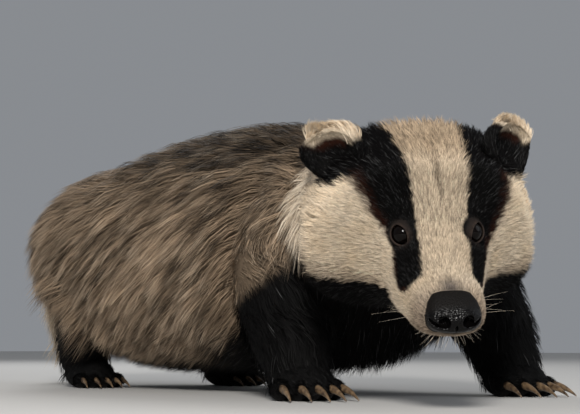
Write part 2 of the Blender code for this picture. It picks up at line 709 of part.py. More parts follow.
def build_body(ears):
    """Neck, torso and the four legs, cut from one blended body, with the coat's locks on the first two."""
    start = HEAD_PLACE @ Vector((0, HEAD_LENGTH, 0)), HEAD_TURN @ Vector((0, 1, 0))
    end = plane_of(trunk_row(TRUNK_STATIONS, NECK_STATION))
    first = [p - start[1] * 0.012 for p in trunk_ring(TRUNK_CURVE[0], CORE_SHARE)]
    rings = [first, *(trunk_ring(row, CORE_SHARE) for row in TRUNK_CURVE)]
    whole = blended("whole", [loft("trunk", rings), *leg_tubes()], 0.0045, 6, BODY_TRIANGLES)

    legs = {}
    for name, (kind, points, radii) in LEGS.items():
        leg = copy_of(whole, "leg")
        combine(leg, [leg_space(points, radii)], "INTERSECT")
        cut_by_plane(leg, Vector((0, 0, FOOT_TOPS[kind])), Vector((0, 0, -1)))
        legs[name] = keep_largest(leg)
    tail = tail_form(whole)

    bodies = {"neck": copy_of(whole, "neck"), "torso": whole}
    seams = {
        "neck": ((start[0] + start[1] * SEAM, -start[1]), (end[0] - end[1] * HALF_SEAM, end[1])),
        "torso": ((end[0] + end[1] * HALF_SEAM, -end[1]),),
    }
    for kind, body in bodies.items():

        def wanted(point):
            inside = all((point - at).dot(outward) < -ROOT_MARGIN for at, outward in seams[kind])
            on_leg = any((point - Vector(p[2])).length < radii[2] + LEG_ROOM for _, p, radii in LEGS.values())
            near_tail = (point - Vector(TAIL_POINTS[1])).length < TAIL_RADII[1] + TAIL_COAT
            near_tail = near_tail or (point - UNDER_TAIL).length < UNDER_TAIL_REACH
            return inside and not on_leg and not near_tail and point.z > LOWEST_ROOT

        add_locks(body, kind, lie_on_trunk, wanted)
        for point, outward in seams[kind]:
            cut_by_plane(body, point, outward)
        rooms = [leg_space(points, radii, SEAM) for _, points, radii in LEGS.values()]
        if kind == "torso":
            rooms += [grown(tail), *(foot_space(*leg) for leg in LEGS.values())]
        else:
            rooms += [grown(ear) for ear in ears]
        keep_largest(combine(body, rooms, "DIFFERENCE", "MANIFOLD"))
    add_locks(tail, "tail", lie_on_tail, lambda point: point.z < TAIL_POINTS[1][2] - 0.008)
    combine(tail, [grown(bodies["torso"], HALF_SEAM)], "DIFFERENCE", "MANIFOLD")
    return bodies["neck"], bodies["torso"], keep_largest(tail), legs


def claw(root, heading, kind):
    """A claw that curves forward and down from its sunk root, ending just above the floor."""
    rings = []
    right = heading.cross(Vector((0, 0, 1)))
    for i in range(CLAW_RINGS):
        t = i / (CLAW_RINGS - 1)
        drop = (root.z - CLAW_TIP_HEIGHT) * t**CLAW_DROP
        centre = root + heading * kind["claw"] * t - Vector((0, 0, drop))
        radius = kind["claw_radius"] * (1 - CLAW_NARROWING * t**CLAW_TAPER)
        ring = []
        for k in range(CLAW_SIDES):
            angle = 2 * math.pi * k / CLAW_SIDES
            point = centre + right * math.cos(angle) * radius * CLAW_FLATNESS
            point.z = max(point.z + math.sin(angle) * radius, CLAW_CLEARANCE)
            ring.append(point)
        rings.append(ring)
    return loft("claw", rings)


def build_paws(legs):
    for name, (kind_name, points, radii) in LEGS.items():
        kind = PAW_KINDS[kind_name]
        top = FOOT_TOPS[kind_name]
        ankle = Vector(points[-1])
        splay = math.radians(PAW_HEADINGS[name])
        heading = Vector((math.sin(splay), -math.cos(splay), 0))
        across = Vector((math.cos(splay), math.sin(splay), 0))
        palm_centre = Vector((ankle.x, ankle.y, PALM_HEIGHT)) + heading * kind["ahead"]
        turn = Euler((0, 0, splay)).to_matrix()
        pieces = [
            ellipsoid("palm", palm_centre, kind["palm"], turn),
            tube("wrist", points[1:], radii[1:]),
        ]
        claws = []
        for i in range(TOES):
            offset = i - (TOES - 1) / 2
            toe = Vector((ankle.x, ankle.y, kind["toe_radius"] * TOE_LEVEL))
            toe += across * offset * kind["toe_pitch"]
            toe += heading * (kind["toe_reach"] - TOE_ROW_CURVE * offset**2)
            halves = (kind["toe_radius"] * TOE_NARROWING, kind["toe_length"], kind["toe_radius"])
            pieces.append(ellipsoid("toe", toe, halves, turn, 8, 12))
            fan = Euler((0, 0, math.radians(TOE_FAN * offset))).to_matrix() @ heading
            root = toe + fan * kind["toe_length"] * CLAW_ROOT_BACK + Vector((0, 0, CLAW_ROOT_RISE))
            claws.append(finish(claw(root, fan, kind), f"{name}_claw_{i + 1}", "horn"))
        paw = blended("paw", pieces, 0.0024, 2, PAW_TRIANGLES)
        cut_by_plane(paw, Vector((0, 0, top - SEAM)), Vector((0, 0, 1)))
        cut_by_plane(paw, Vector((0, 0, 0)), Vector((0, 0, -1)))
        keep_largest(paw)
        combine(paw, [grown(c) for c in claws], "DIFFERENCE")
        finish(keep_largest(paw), f"{name}_paw", "black_coat")
        finish(legs[name], f"{name}_leg", "black_coat")


def set_on_base_centre():
    """Hangs every piece on one empty, placed so that the origin is under the middle of the whole."""
    pieces = [o for o in bpy.context.scene.collection.objects if o.type == "MESH"]
    points = np.array([v.co for o in pieces for v in o.data.vertices])
    low, high = points.min(0), points.max(0)
    badger = bpy.data.objects.new("badger", None)
    bpy.context.scene.collection.objects.link(badger)
    badger.location = (-(low[0] + high[0]) / 2, -(low[1] + high[1]) / 2, -low[2])
    for piece in pieces:
        piece.parent = badger


def main():
    ears = build_head()
    neck, torso, tail, legs = build_body(ears)
    build_paws(legs)
    finish(neck, "neck", "grey_coat")
    finish(torso, "torso", "grey_coat")
    finish(tail, "tail", "grey_coat")
    set_on_base_centre()


main()
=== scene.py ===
import math

import bpy
import numpy as np
from mathutils import Euler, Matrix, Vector
from mathutils.bvhtree import BVHTree
from mathutils.kdtree import KDTree


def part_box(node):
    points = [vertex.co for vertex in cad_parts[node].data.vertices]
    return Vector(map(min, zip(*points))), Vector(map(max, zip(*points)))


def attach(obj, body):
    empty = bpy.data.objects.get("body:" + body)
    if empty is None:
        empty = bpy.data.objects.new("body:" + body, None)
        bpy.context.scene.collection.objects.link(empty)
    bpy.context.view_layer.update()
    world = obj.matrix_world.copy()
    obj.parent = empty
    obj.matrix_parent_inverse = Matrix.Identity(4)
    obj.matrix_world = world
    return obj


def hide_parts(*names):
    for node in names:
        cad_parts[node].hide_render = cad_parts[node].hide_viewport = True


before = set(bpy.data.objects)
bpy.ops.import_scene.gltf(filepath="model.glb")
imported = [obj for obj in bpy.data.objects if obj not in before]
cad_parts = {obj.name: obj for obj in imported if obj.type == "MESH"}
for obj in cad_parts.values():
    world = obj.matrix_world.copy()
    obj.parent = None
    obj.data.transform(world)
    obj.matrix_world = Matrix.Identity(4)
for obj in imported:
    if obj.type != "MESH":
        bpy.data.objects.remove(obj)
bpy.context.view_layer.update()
mm = 0.001
coatShare = 1.0


# Numbers along smooth curves, and small vector helpers

def curveThrough(rows, steps):
    rows = np.array(rows, float)
    ends = np.vstack([2 * rows[0] - rows[1], rows, 2 * rows[-1] - rows[-2]])
    found = []
    for i in range(len(rows) - 1):
        a, b, c, d = ends[i:i + 4]
        for t in np.arange(steps) / steps:
            found.append(0.5 * (2 * b + (c - a) * t + (2 * a - 5 * b + 4 * c - d) * t ** 2
                                + (3 * b - a - 3 * c + d) * t ** 3))
    return np.array([*found, rows[-1]])


def unit(v):
    return v / np.maximum(np.linalg.norm(v, axis=-1, keepdims=True), 1e-9)


def dot(a, b):
    return (a * b).sum(-1, keepdims=True)


def ease(low, high, value):
    t = np.clip((value - low) / (high - low), 0, 1)
    return t * t * (3 - 2 * t)


def roundAngles(count):  # the angles of a ring, back to the first
    return 2 * math.pi * np.arange(count + 1) / count


def squared(value, square):  # a sine or cosine that squares off its ring
    return np.sign(value) * np.abs(value) ** (2 / square)


def ripple(points, size, seed):  # smooth noise from -1 to 1, in lumps of about this size
    draw = np.random.default_rng(seed)
    total = 0
    for octave in range(3):
        wave = unit(draw.normal(size=(5, 3))) * 2 * math.pi / (size / 1.9 ** octave)
        phase = draw.uniform(0, 6.28, 5)
        total = total + np.sin(points @ wave.T + phase).sum(-1) * 0.6 ** octave
    return np.clip(total / 5.5, -1, 1)


def rgb(r, g, b):  # screen colour to linear
    c = np.array((r, g, b), float) / 255
    return np.where(c <= 0.04045, c / 12.92, ((c + 0.055) / 1.055) ** 2.4)


def turned(*degrees):
    return np.array(Euler([math.radians(a) for a in degrees]).to_matrix())


# The head is shaped round its nose tip, facing -Y, and then set at its place and turn
headPlan = {
    "noseTip": (-0.153, -0.199, 0.050),
    "yaw": -35.5, "pitch": 40, "roll": -3,
    "steps": 14, "sides": 144,
    # millimetres back from the nose tip: back, half width, top, bottom, widest level, squareness, coat depth
    "sections": (
        (2, 12.5, 9, -5, 1, 2.2, 1), (9, 17.5, 12.5, -9.8, 0, 2.4, 2), (22, 20.5, 14.5, -17, -3, 2.5, 3),
        (38, 23, 18, -23.5, -6, 2.6, 3), (55, 29.5, 26, -29, -6, 2.8, 3), (70, 37.5, 35, -35, -10, 2.6, 4),
        (87, 51, 43, -42, -12, 2.6, 10), (104, 62, 46, -50, -12, 2.6, 14), (122, 67, 46, -57, -10, 2.7, 16),
        (156, 65, 44, -62, -8, 2.5, 16),
    ),
    # swellings and hollows on both sides: centre, reach, rise
    "swells": (((22, 42, 14), 9, -2.6), ((28, 66, 26), 8, -3.6), ((24, 76, 33), 8, 1.6),
               ((60, 108, -30), 24, 7.0), ((16, 20, -6), 10, 1.5), ((30, 72, -2), 13, -2.0)),
    # how much of the coat's depth lies inside the skin, by millimetres back
    "insideBack": (0, 46, 58, 80, 96), "inside": (0.4, 0.35, 0.0, 0.05, 0.42),
}
headTurn = turned(0, 0, headPlan["yaw"]) @ turned(headPlan["pitch"], 0, 0) @ turned(0, headPlan["roll"], 0)

eyePlan = {"centre": (0.022, 0.069, 0.024), "facing": (0.58, -0.72, 0.40), "radius": 0.0074}


def outOfHead(points):  # from the head's own frame to the body's
    return points @ headTurn.T + headPlan["noseTip"]


def intoHead(points):
    return (points - headPlan["noseTip"]) @ headTurn


def eyeFrame(side):
    centre = np.array(eyePlan["centre"]) * (side, 1, 1)
    facing = unit(np.array(eyePlan["facing"])) * (side, 1, 1)
    along = unit(np.cross(np.cross((0, -1, -0.25), facing), facing))
    return centre, np.array((along, np.cross(facing, along), facing)).T


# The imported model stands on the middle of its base; its right eye tells how far that moved it
seenEye = (np.array(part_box("eye_right")[0]) + np.array(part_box("eye_right")[1])) / 2
baseShift = seenEye - outOfHead(eyeFrame(-1)[0])


def headShare(back):
    return np.interp(back, headPlan["insideBack"], headPlan["inside"])


def headGrid():
    rows = curveThrough(headPlan["sections"], headPlan["steps"])
    back, half, top, bottom, level, square, coat = (column[:, None] for column in rows.T)
    angle = roundAngles(headPlan["sides"])
    c, s = np.cos(angle), np.sin(angle)
    more = coat * headShare(back)
    x = (half + more) * squared(c, square)
    reach = np.where(s > 0, top + more - level, level - bottom + more)
    z = level + reach * squared(s, square)
    points = np.stack([x, back + 0 * x, z], -1)
    moved = points.copy()
    outward = unit(points - np.stack([0 * x, back + 0 * x, 0 * x - 6], -1))
    for centre, reachOf, rise in headPlan["swells"]:
        for side in (1, -1):
            far = np.linalg.norm(points - np.array(centre) * (side, 1, 1), axis=-1, keepdims=True)
            moved += outward * rise * np.exp(-(far / reachOf) ** 2)
    return moved * mm


trunkPlan = {
    "steps": 12, "sides": 96, "bellyShare": 0.9,
    # x, y, z, yaw, pitch, half width, rise, drop, squareness, coat depth, from the head's back to the rump
    "stations": (
        (-0.0842, -0.1026, 0.1422, -35.5, 40, 0.064, 0.050, 0.058, 2.2, 0.014),
        (-0.0430, -0.0560, 0.1350, -26.0, 24, 0.076, 0.055, 0.070, 2.2, 0.018),
        (-0.0030, 0.0050, 0.1270, -7.0, 8, 0.088, 0.072, 0.082, 2.2, 0.022),
        (0.0, 0.1000, 0.1270, 0.0, 0, 0.097, 0.087, 0.086, 2.2, 0.027),
        (0.0, 0.1950, 0.1270, 0.0, 0, 0.104, 0.086, 0.086, 2.2, 0.030),
        (0.0, 0.2850, 0.1290, 0.0, 0, 0.104, 0.071, 0.084, 2.2, 0.032),
        (0.0, 0.3500, 0.1290, 0.0, -4, 0.097, 0.072, 0.074, 2.2, 0.031),
        (0.0, 0.4010, 0.1270, 0.0, -10, 0.077, 0.060, 0.064, 2.1, 0.028),
        (0.0, 0.4310, 0.1230, 0.0, -16, 0.044, 0.038, 0.044, 2.0, 0.024),
    ),
}


def trunkGrid(share):
    rows = curveThrough(trunkPlan["stations"], trunkPlan["steps"])
    angle = roundAngles(trunkPlan["sides"])
    c, s = np.cos(angle), np.sin(angle)
    rings = []
    for x, y, z, yaw, pitch, half, rise, drop, square, coat in rows:
        more = coat * share
        u = (half + more) * squared(c, square)
        reach = np.where(s > 0, rise + more, drop + more * trunkPlan["bellyShare"])
        w = reach * squared(s, square)
        turn = turned(0, 0, yaw) @ turned(pitch, 0, 0)
        rings.append(np.stack([u, 0 * u, w], -1) @ turn.T + (x, y, z))
    return np.array(rings)


legPlan = {
    "frontLeft": {"kind": "front", "heading": -16, "node": "front_left", "points": (
        (0.056, -0.004, 0.140), (0.078, -0.018, 0.098), (0.088, -0.038, 0.062), (0.090, -0.052, 0.030))},
    "frontRight": {"kind": "front", "heading": -20, "node": "front_right", "points": (
        (-0.066, 0.022, 0.140), (-0.082, 0.034, 0.098), (-0.092, 0.024, 0.062), (-0.092, 0.010, 0.030))},
    "hindLeft": {"kind": "hind", "heading": 2, "node": "hind_left", "points": (
        (0.046, 0.335, 0.130), (0.068, 0.290, 0.098), (0.074, 0.307, 0.060), (0.076, 0.310, 0.028))},
    "hindRight": {"kind": "hind", "heading": -8, "node": "hind_right", "points": (
        (-0.046, 0.345, 0.130), (-0.070, 0.312, 0.098), (-0.066, 0.350, 0.060), (-0.060, 0.364, 0.028))},
}
pawPlan = {
    "front": {"radii": (0.046, 0.042, 0.033, 0.027), "palm": (0.026, 0.026, 0.017), "ahead": 0.010,
              "toeReach": 0.030, "toePitch": 0.0112, "toeRadius": 0.0082, "toeLength": 0.014,
              "claw": 0.026, "clawRadius": 0.0036},
    "hind": {"radii": (0.056, 0.050, 0.031, 0.024), "palm": (0.022, 0.034, 0.016), "ahead": 0.014,
             "toeReach": 0.044, "toePitch": 0.0096, "toeRadius": 0.0072, "toeLength": 0.012,
             "claw": 0.018, "clawRadius": 0.0029},
}
# a toe's and claw's shares of their sizes, how far the outer toes stand back, and the claws' fan in degrees
toePlan = {"up": 0.95, "narrow": 0.74, "arc": 0.0022, "palmUp": 0.013, "fan": 4, "clawAt": 0.55,
           "clawUp": 0.0012, "clawNarrow": 0.78, "clawTaper": 0.82, "clawGap": 0.0006}
tailPlan = {
    "points": ((0.0, 0.412, 0.140), (0.0, 0.452, 0.122), (0.004, 0.486, 0.094), (0.008, 0.504, 0.064)),
    "radii": (0.024, 0.021, 0.016, 0.009),
}
domePlan = {"rings": (0.3, 0.55, 0.75, 0.9), "height": 0.8}  # shares of a limb's end radius


def tubeGrid(points, radii, sides=40, steps=10):  # a limb with domed ends
    path = curveThrough([(*p, r) for p, r in zip(points, radii)], steps)
    angle = roundAngles(sides)
    rings = []
    for i, (x, y, z, radius) in enumerate(path):
        along = path[min(i + 1, len(path) - 1)][:3] - path[max(i - 1, 0)][:3]
        turn = np.array(Vector(along).to_track_quat("Z", "Y").to_matrix())
        rings.append(np.stack([np.cos(angle), np.sin(angle), 0 * angle], -1) * radius @ turn.T + (x, y, z))
    domes = []
    for ring, at, into in ((rings[0], path[0], path[1]), (rings[-1], path[-1], path[-2])):
        out = unit(at[:3] - into[:3])
        domes.append([at[:3] + (ring - at[:3]) * share + out * math.sqrt(1 - share ** 2) * at[3]
                      * domePlan["height"] for share in domePlan["rings"]])
    return np.array([*domes[0], *rings, *domes[1][::-1]])


# Meshes from arrays, and solids joined to one another

def meshObject(name, points, faces):
    mesh = bpy.data.meshes.new(name)
    sizes = [(face.shape[1], len(face)) for face in faces if len(face)]
    loops = np.concatenate([face.ravel() for face in faces if len(face)])
    counts = np.concatenate([np.full(n, size) for size, n in sizes])
    mesh.vertices.add(len(points))
    mesh.vertices.foreach_set("co", np.ascontiguousarray(points, np.float32).ravel())
    mesh.loops.add(len(loops))
    mesh.loops.foreach_set("vertex_index", loops.astype(np.int32))
    mesh.polygons.add(len(counts))
    mesh.polygons.foreach_set("loop_start", np.concatenate([[0], np.cumsum(counts)[:-1]]).astype(np.int32))
    mesh.update(calc_edges=True)
    mesh.shade_smooth()
    obj = bpy.data.objects.new(name, mesh)
    bpy.context.scene.collection.objects.link(obj)
    return obj


def readOut(data, field, width, kind=np.float32):
    found = np.empty(len(data) * width, kind)
    data.foreach_get(field, found)
    return found.reshape(-1, width)


def pointsOf(obj):
    return readOut(obj.data.vertices, "co", 3).astype(float)


def movePoints(obj, points):
    obj.data.vertices.foreach_set("co", np.ascontiguousarray(points, np.float32).ravel())
    obj.data.update()


def trianglesOf(obj):
    obj.data.calc_loop_triangles()
    return readOut(obj.data.loop_triangles, "vertices", 3, np.int32)


def closedLoft(name, grid):  # rings without their repeated last column, capped with fans
    rings, sides = grid.shape[0], grid.shape[1] - 1
    points = [grid[:, :-1].reshape(-1, 3), grid[0, :-1].mean(0)[None], grid[-1, :-1].mean(0)[None]]
    i, j = np.meshgrid(np.arange(rings - 1), np.arange(sides), indexing="ij")
    k = (j + 1) % sides
    quads = np.stack([i * sides + j, i * sides + k, (i + 1) * sides + k, (i + 1) * sides + j], -1)
    here = np.arange(sides)
    ahead = (here + 1) % sides
    last = (rings - 1) * sides
    caps = np.vstack([np.stack([ahead, here, 0 * here + rings * sides], -1),
                      np.stack([last + here, last + ahead, 0 * here + rings * sides + 1], -1)])
    return outward(meshObject(name, np.vstack(points), [quads.reshape(-1, 4), caps]))


def outward(obj):
    points, triangles = pointsOf(obj), trianglesOf(obj)
    a, b, c = (points[triangles[:, i]] for i in range(3))
    if (a * np.cross(b, c)).sum() < 0:
        obj.data.flip_normals()
    return obj


def ballGrid(centre, halves, turn=np.eye(3), rings=16, sides=32):
    lift = np.linspace(-math.pi / 2 + 0.08, math.pi / 2 - 0.08, rings)[:, None]
    angle = roundAngles(sides)[None]
    ball = [np.cos(lift) * np.cos(angle), np.cos(lift) * np.sin(angle), np.sin(lift) + 0 * angle]
    return np.stack(ball, -1) * halves @ turn.T + centre


def freeze(obj):  # the modifiers' result becomes the mesh
    graph = bpy.context.evaluated_depsgraph_get()
    made = bpy.data.meshes.new_from_object(obj.evaluated_get(graph))
    old, obj.data = obj.data, made
    obj.modifiers.clear()
    bpy.data.meshes.remove(old)
    return obj


def remove(*objs):
    for obj in objs:
        mesh = obj.data
        bpy.data.objects.remove(obj)
        bpy.data.meshes.remove(mesh)


def joined(obj, others, operation):
    group = bpy.data.collections.new("others")
    bpy.context.scene.collection.children.link(group)
    for other in others:
        group.objects.link(other)
    step = obj.modifiers.new(operation, "BOOLEAN")
    step.operation, step.solver = operation, "MANIFOLD"
    step.operand_type, step.collection = "COLLECTION", group
    freeze(obj)
    remove(*others)
    bpy.data.collections.remove(group)
    return obj


def together(name, pieces, shift=0.0):  # many meshes as one, not fused
    points = [pointsOf(piece) for piece in pieces]
    starts = np.cumsum([0] + [len(spots) for spots in points[:-1]])
    triangles = [trianglesOf(piece) + start for piece, start in zip(pieces, starts)]
    remove(*pieces)
    return meshObject(name, np.vstack(points) + shift, [np.vstack(triangles)])


def remeshed(obj, voxel, smoothing):
    remesh = obj.modifiers.new("remesh", "REMESH")
    remesh.mode, remesh.voxel_size, remesh.use_smooth_shade = "VOXEL", voxel, True
    smooth = obj.modifiers.new("smooth", "SMOOTH")
    smooth.factor, smooth.iterations = 0.5, smoothing
    return freeze(obj)


def grownTogether(name, grids, voxel, smoothing):
    body = together(name, [closedLoft(name, grid) for grid in grids])
    return outward(remeshed(body, voxel, smoothing))


# Skin: one closed body under the coat

skinPlan = {
    "share": 0.40,  # how much of the coat's depth lies inside the skin
    "bodyVoxel": 0.0034, "bodySmoothing": 9, "pawVoxel": 0.0019, "pawSmoothing": 3,
    "mouth": ((-12, -8.2), (6, -9.4), (20, -12.4), (34, -16.6), (47, -21.0), (54, -25)), "mouthGap": 0.9,
    "mouthReach": 0.06, "noseRoom": ((0, 0.006, 0.003), (0.0135, 0.0085, 0.0075)), "neckOverlap": 0.016,
    # in metres; bareLid is a share of the lids' opening, and shade one of the coat's colour
    "lidHalfWidth": 0.0074, "lidHalfHeight": 0.0058, "lidThick": 0.0005, "lidOuter": 0.0087,
    "socket": 0.00755, "openingReach": (0.002, 0.016), "bareLid": 1.18, "shade": 0.55,
}
earPlan = {
    "half": (0.027, 0.010, 0.025), "cup": (0.0235, 0.012, 0.0215), "cupShift": 0.0088,
    "narrowing": 0.55, "lean": 0.010,
    # each ear's centre and turn, and the part of its edge that is pale, in degrees round it
    "left": {"centre": (0.062, 0.138, 0.0435), "turn": (-38, 14, 40), "rim": (8, 104),
             "tall": 0.82, "start": 0.2},
    "right": {"centre": (-0.061, 0.135, 0.040), "turn": (-38, -30, -16), "rim": (22, 122),
              "tall": 0.92, "start": 0.7},
}


def earFrame(name):
    return np.array(earPlan[name]["centre"]), turned(*earPlan[name]["turn"])


def earBall(name, halves, back=0.0):  # narrower towards its base, which leans in to the head
    centre, turn = earFrame(name)
    grid = ballGrid((0, back, 0), halves, np.eye(3), 32, 64)
    start = earPlan[name]["start"]
    low = np.clip((start - grid[..., 2] / earPlan["half"][2]) / (1 + start), 0, 1)
    grid[..., 2] *= np.where(grid[..., 2] > 0, earPlan[name]["tall"], 1)
    grid[..., 0] *= 1 - earPlan["narrowing"] * low
    grid[..., 0] -= np.sign(centre[0]) * earPlan["lean"] * low
    return grid @ turn.T + centre


def intoEar(name, points):  # the same shape undone, with the shell at a distance of 1
    centre, turn = earFrame(name)
    inEar = (points - centre) @ turn / earPlan["half"]
    inEar[:, 2] /= np.where(inEar[:, 2] > 0, earPlan[name]["tall"], 1)
    low = np.clip((earPlan[name]["start"] - inEar[:, 2]) / (1 + earPlan[name]["start"]), 0, 1)
    inEar[:, 0] += np.sign(centre[0]) * earPlan["lean"] / earPlan["half"][0] * low
    inEar[:, 0] /= 1 - earPlan["narrowing"] * low
    return inEar


def lidEdge(a):  # an almond
    height = skinPlan["lidHalfHeight"] * np.sin(a) * (1 - 0.14 * np.cos(a) ** 2)
    return skinPlan["lidHalfWidth"] * np.cos(a), height


def aroundEye(side, points):  # distance from the middle of the lids' opening, with its edge at 1
    centre, turn = eyeFrame(side)
    x, y, z = ((points - centre) @ turn).T
    return np.hypot(x / skinPlan["lidHalfWidth"], y / skinPlan["lidHalfHeight"]) + 9 * (z < 0)


def lidRing(side):  # a closed ring along the opening's edge, so it needs no caps
    centre, turn = eyeFrame(side)
    a, b = roundAngles(48)[:-1, None], roundAngles(10)[None, :-1]
    x, y = lidEdge(a)
    out = unit(np.stack([x, y, 0 * x], -1))
    lift = np.sqrt(skinPlan["lidOuter"] ** 2 - x * x - y * y) - 0.4 * skinPlan["lidThick"]
    thick = skinPlan["lidThick"] * (1 + 0.3 * np.clip(np.sin(a), 0, 1))
    ring = np.stack([x, y, lift], -1) + out * (thick * np.cos(b))[..., None]
    ring = centre + (ring + np.stack([0 * x * b, 0 * x * b, thick * np.sin(b)], -1)) @ turn.T
    rings, sides = ring.shape[:2]
    i, j = np.meshgrid(np.arange(rings), np.arange(sides), indexing="ij")
    nextI, nextJ = (i + 1) % rings, (j + 1) % sides
    quads = np.stack([i * sides + j, nextI * sides + j, nextI * sides + nextJ, i * sides + nextJ], -1)
    return outward(meshObject("lid", ring.reshape(-1, 3), [quads.reshape(-1, 4)]))


def mouthSlit():  # a thin curved wedge through the muzzle
    line = curveThrough(skinPlan["mouth"], 4) * mm
    gap = skinPlan["mouthGap"] * mm * np.linspace(1, 0.25, len(line))[:, None] / 2
    outline = np.vstack([line + (0, 1) * gap, (line - (0, 1) * gap)[::-1]])
    reach = skinPlan["mouthReach"]
    grid = np.array([np.insert(outline, 0, x, axis=1) for x in (-reach, reach)])
    return closedLoft("slit", np.concatenate([grid, grid[:, :1]], 1))


def makeHead():
    head = closedLoft("headSkin", headGrid())
    rooms = [closedLoft("noseRoom", ballGrid(*skinPlan["noseRoom"])), mouthSlit()]
    lids = []
    for side in (1, -1):  # a shell over the eyeball with an almond opening
        centre, turn = eyeFrame(side)
        lids.append(closedLoft("lids", ballGrid(centre, (skinPlan["lidOuter"],) * 3, turn, 32, 64)))
        rooms.append(closedLoft("socket", ballGrid(centre, (skinPlan["socket"],) * 3, turn, 32, 64)))
        x, y = lidEdge(roundAngles(64))
        opening = [centre + np.stack([x, y, 0 * x + z], 1) @ turn.T for z in skinPlan["openingReach"]]
        rooms.append(closedLoft("opening", np.array(opening)))
    joined(head, lids, "UNION")
    joined(head, rooms, "DIFFERENCE")
    joined(head, [lidRing(1), lidRing(-1)], "UNION")
    for name in ("left", "right"):
        ear = closedLoft("ear", earBall(name, earPlan["half"]))
        joined(ear, [closedLoft("cup", earBall(name, earPlan["cup"], -earPlan["cupShift"]))], "DIFFERENCE")
        joined(head, [ear], "UNION")
    movePoints(head, outOfHead(pointsOf(head)))
    return head


def pawPieces(leg):
    kind = pawPlan[leg["kind"]]
    ankle, splay = np.array(leg["points"][-1]), math.radians(leg["heading"])
    heading = np.array((math.sin(splay), -math.cos(splay), 0))
    across = np.array((math.cos(splay), math.sin(splay), 0))
    turn = turned(0, 0, leg["heading"])
    grids = [ballGrid((*ankle[:2], toePlan["palmUp"]) + heading * kind["ahead"], kind["palm"], turn),
             tubeGrid(leg["points"][1:], kind["radii"][1:], 24, 5)]
    claws = []
    for offset in (-2, -1, 0, 1, 2):
        toe = (*ankle[:2], kind["toeRadius"] * toePlan["up"]) + across * offset * kind["toePitch"]
        toe = toe + heading * (kind["toeReach"] - toePlan["arc"] * offset ** 2)
        halves = (kind["toeRadius"] * toePlan["narrow"], kind["toeLength"], kind["toeRadius"])
        grids.append(ballGrid(toe, halves, turn, 12, 20))
        fan = turned(0, 0, toePlan["fan"] * offset) @ heading
        claws.append((toe + fan * kind["toeLength"] * toePlan["clawAt"] + (0, 0, toePlan["clawUp"]), fan))
    return grids, claws


print("skin")
trunkCore = trunkGrid(skinPlan["share"])
headBack = unit(outOfHead(np.array((0, 1.0, 0))) - headPlan["noseTip"])
trunkStart = trunkCore[:1] - headBack * skinPlan["neckOverlap"]
legGrids = {name: tubeGrid(leg["points"], pawPlan[leg["kind"]]["radii"]) for name, leg in legPlan.items()}
tailGrid = tubeGrid(tailPlan["points"], tailPlan["radii"], 32)
bodySkin = grownTogether("skin", [np.concatenate([trunkStart, trunkCore]), *legGrids.values(), tailGrid],
                         skinPlan["bodyVoxel"], skinPlan["bodySmoothing"])
paws = {name: pawPieces(leg) for name, leg in legPlan.items()}
pawSkins = []
for grids, _ in paws.values():
    paw = grownTogether("paw", grids, skinPlan["pawVoxel"], skinPlan["pawSmoothing"])
    spots = pointsOf(paw)
    spots[:, 2] = np.maximum(spots[:, 2], 0.0)
    movePoints(paw, spots)
    pawSkins.append(paw)
skin = joined(bodySkin, [makeHead(), *pawSkins], "UNION")
skin.name = "skin"
skin.data.shade_smooth()
print("skin faces", len(skin.data.polygons))


# Markings: the colour of the hair that grows at a place, the same for the skin and its coat

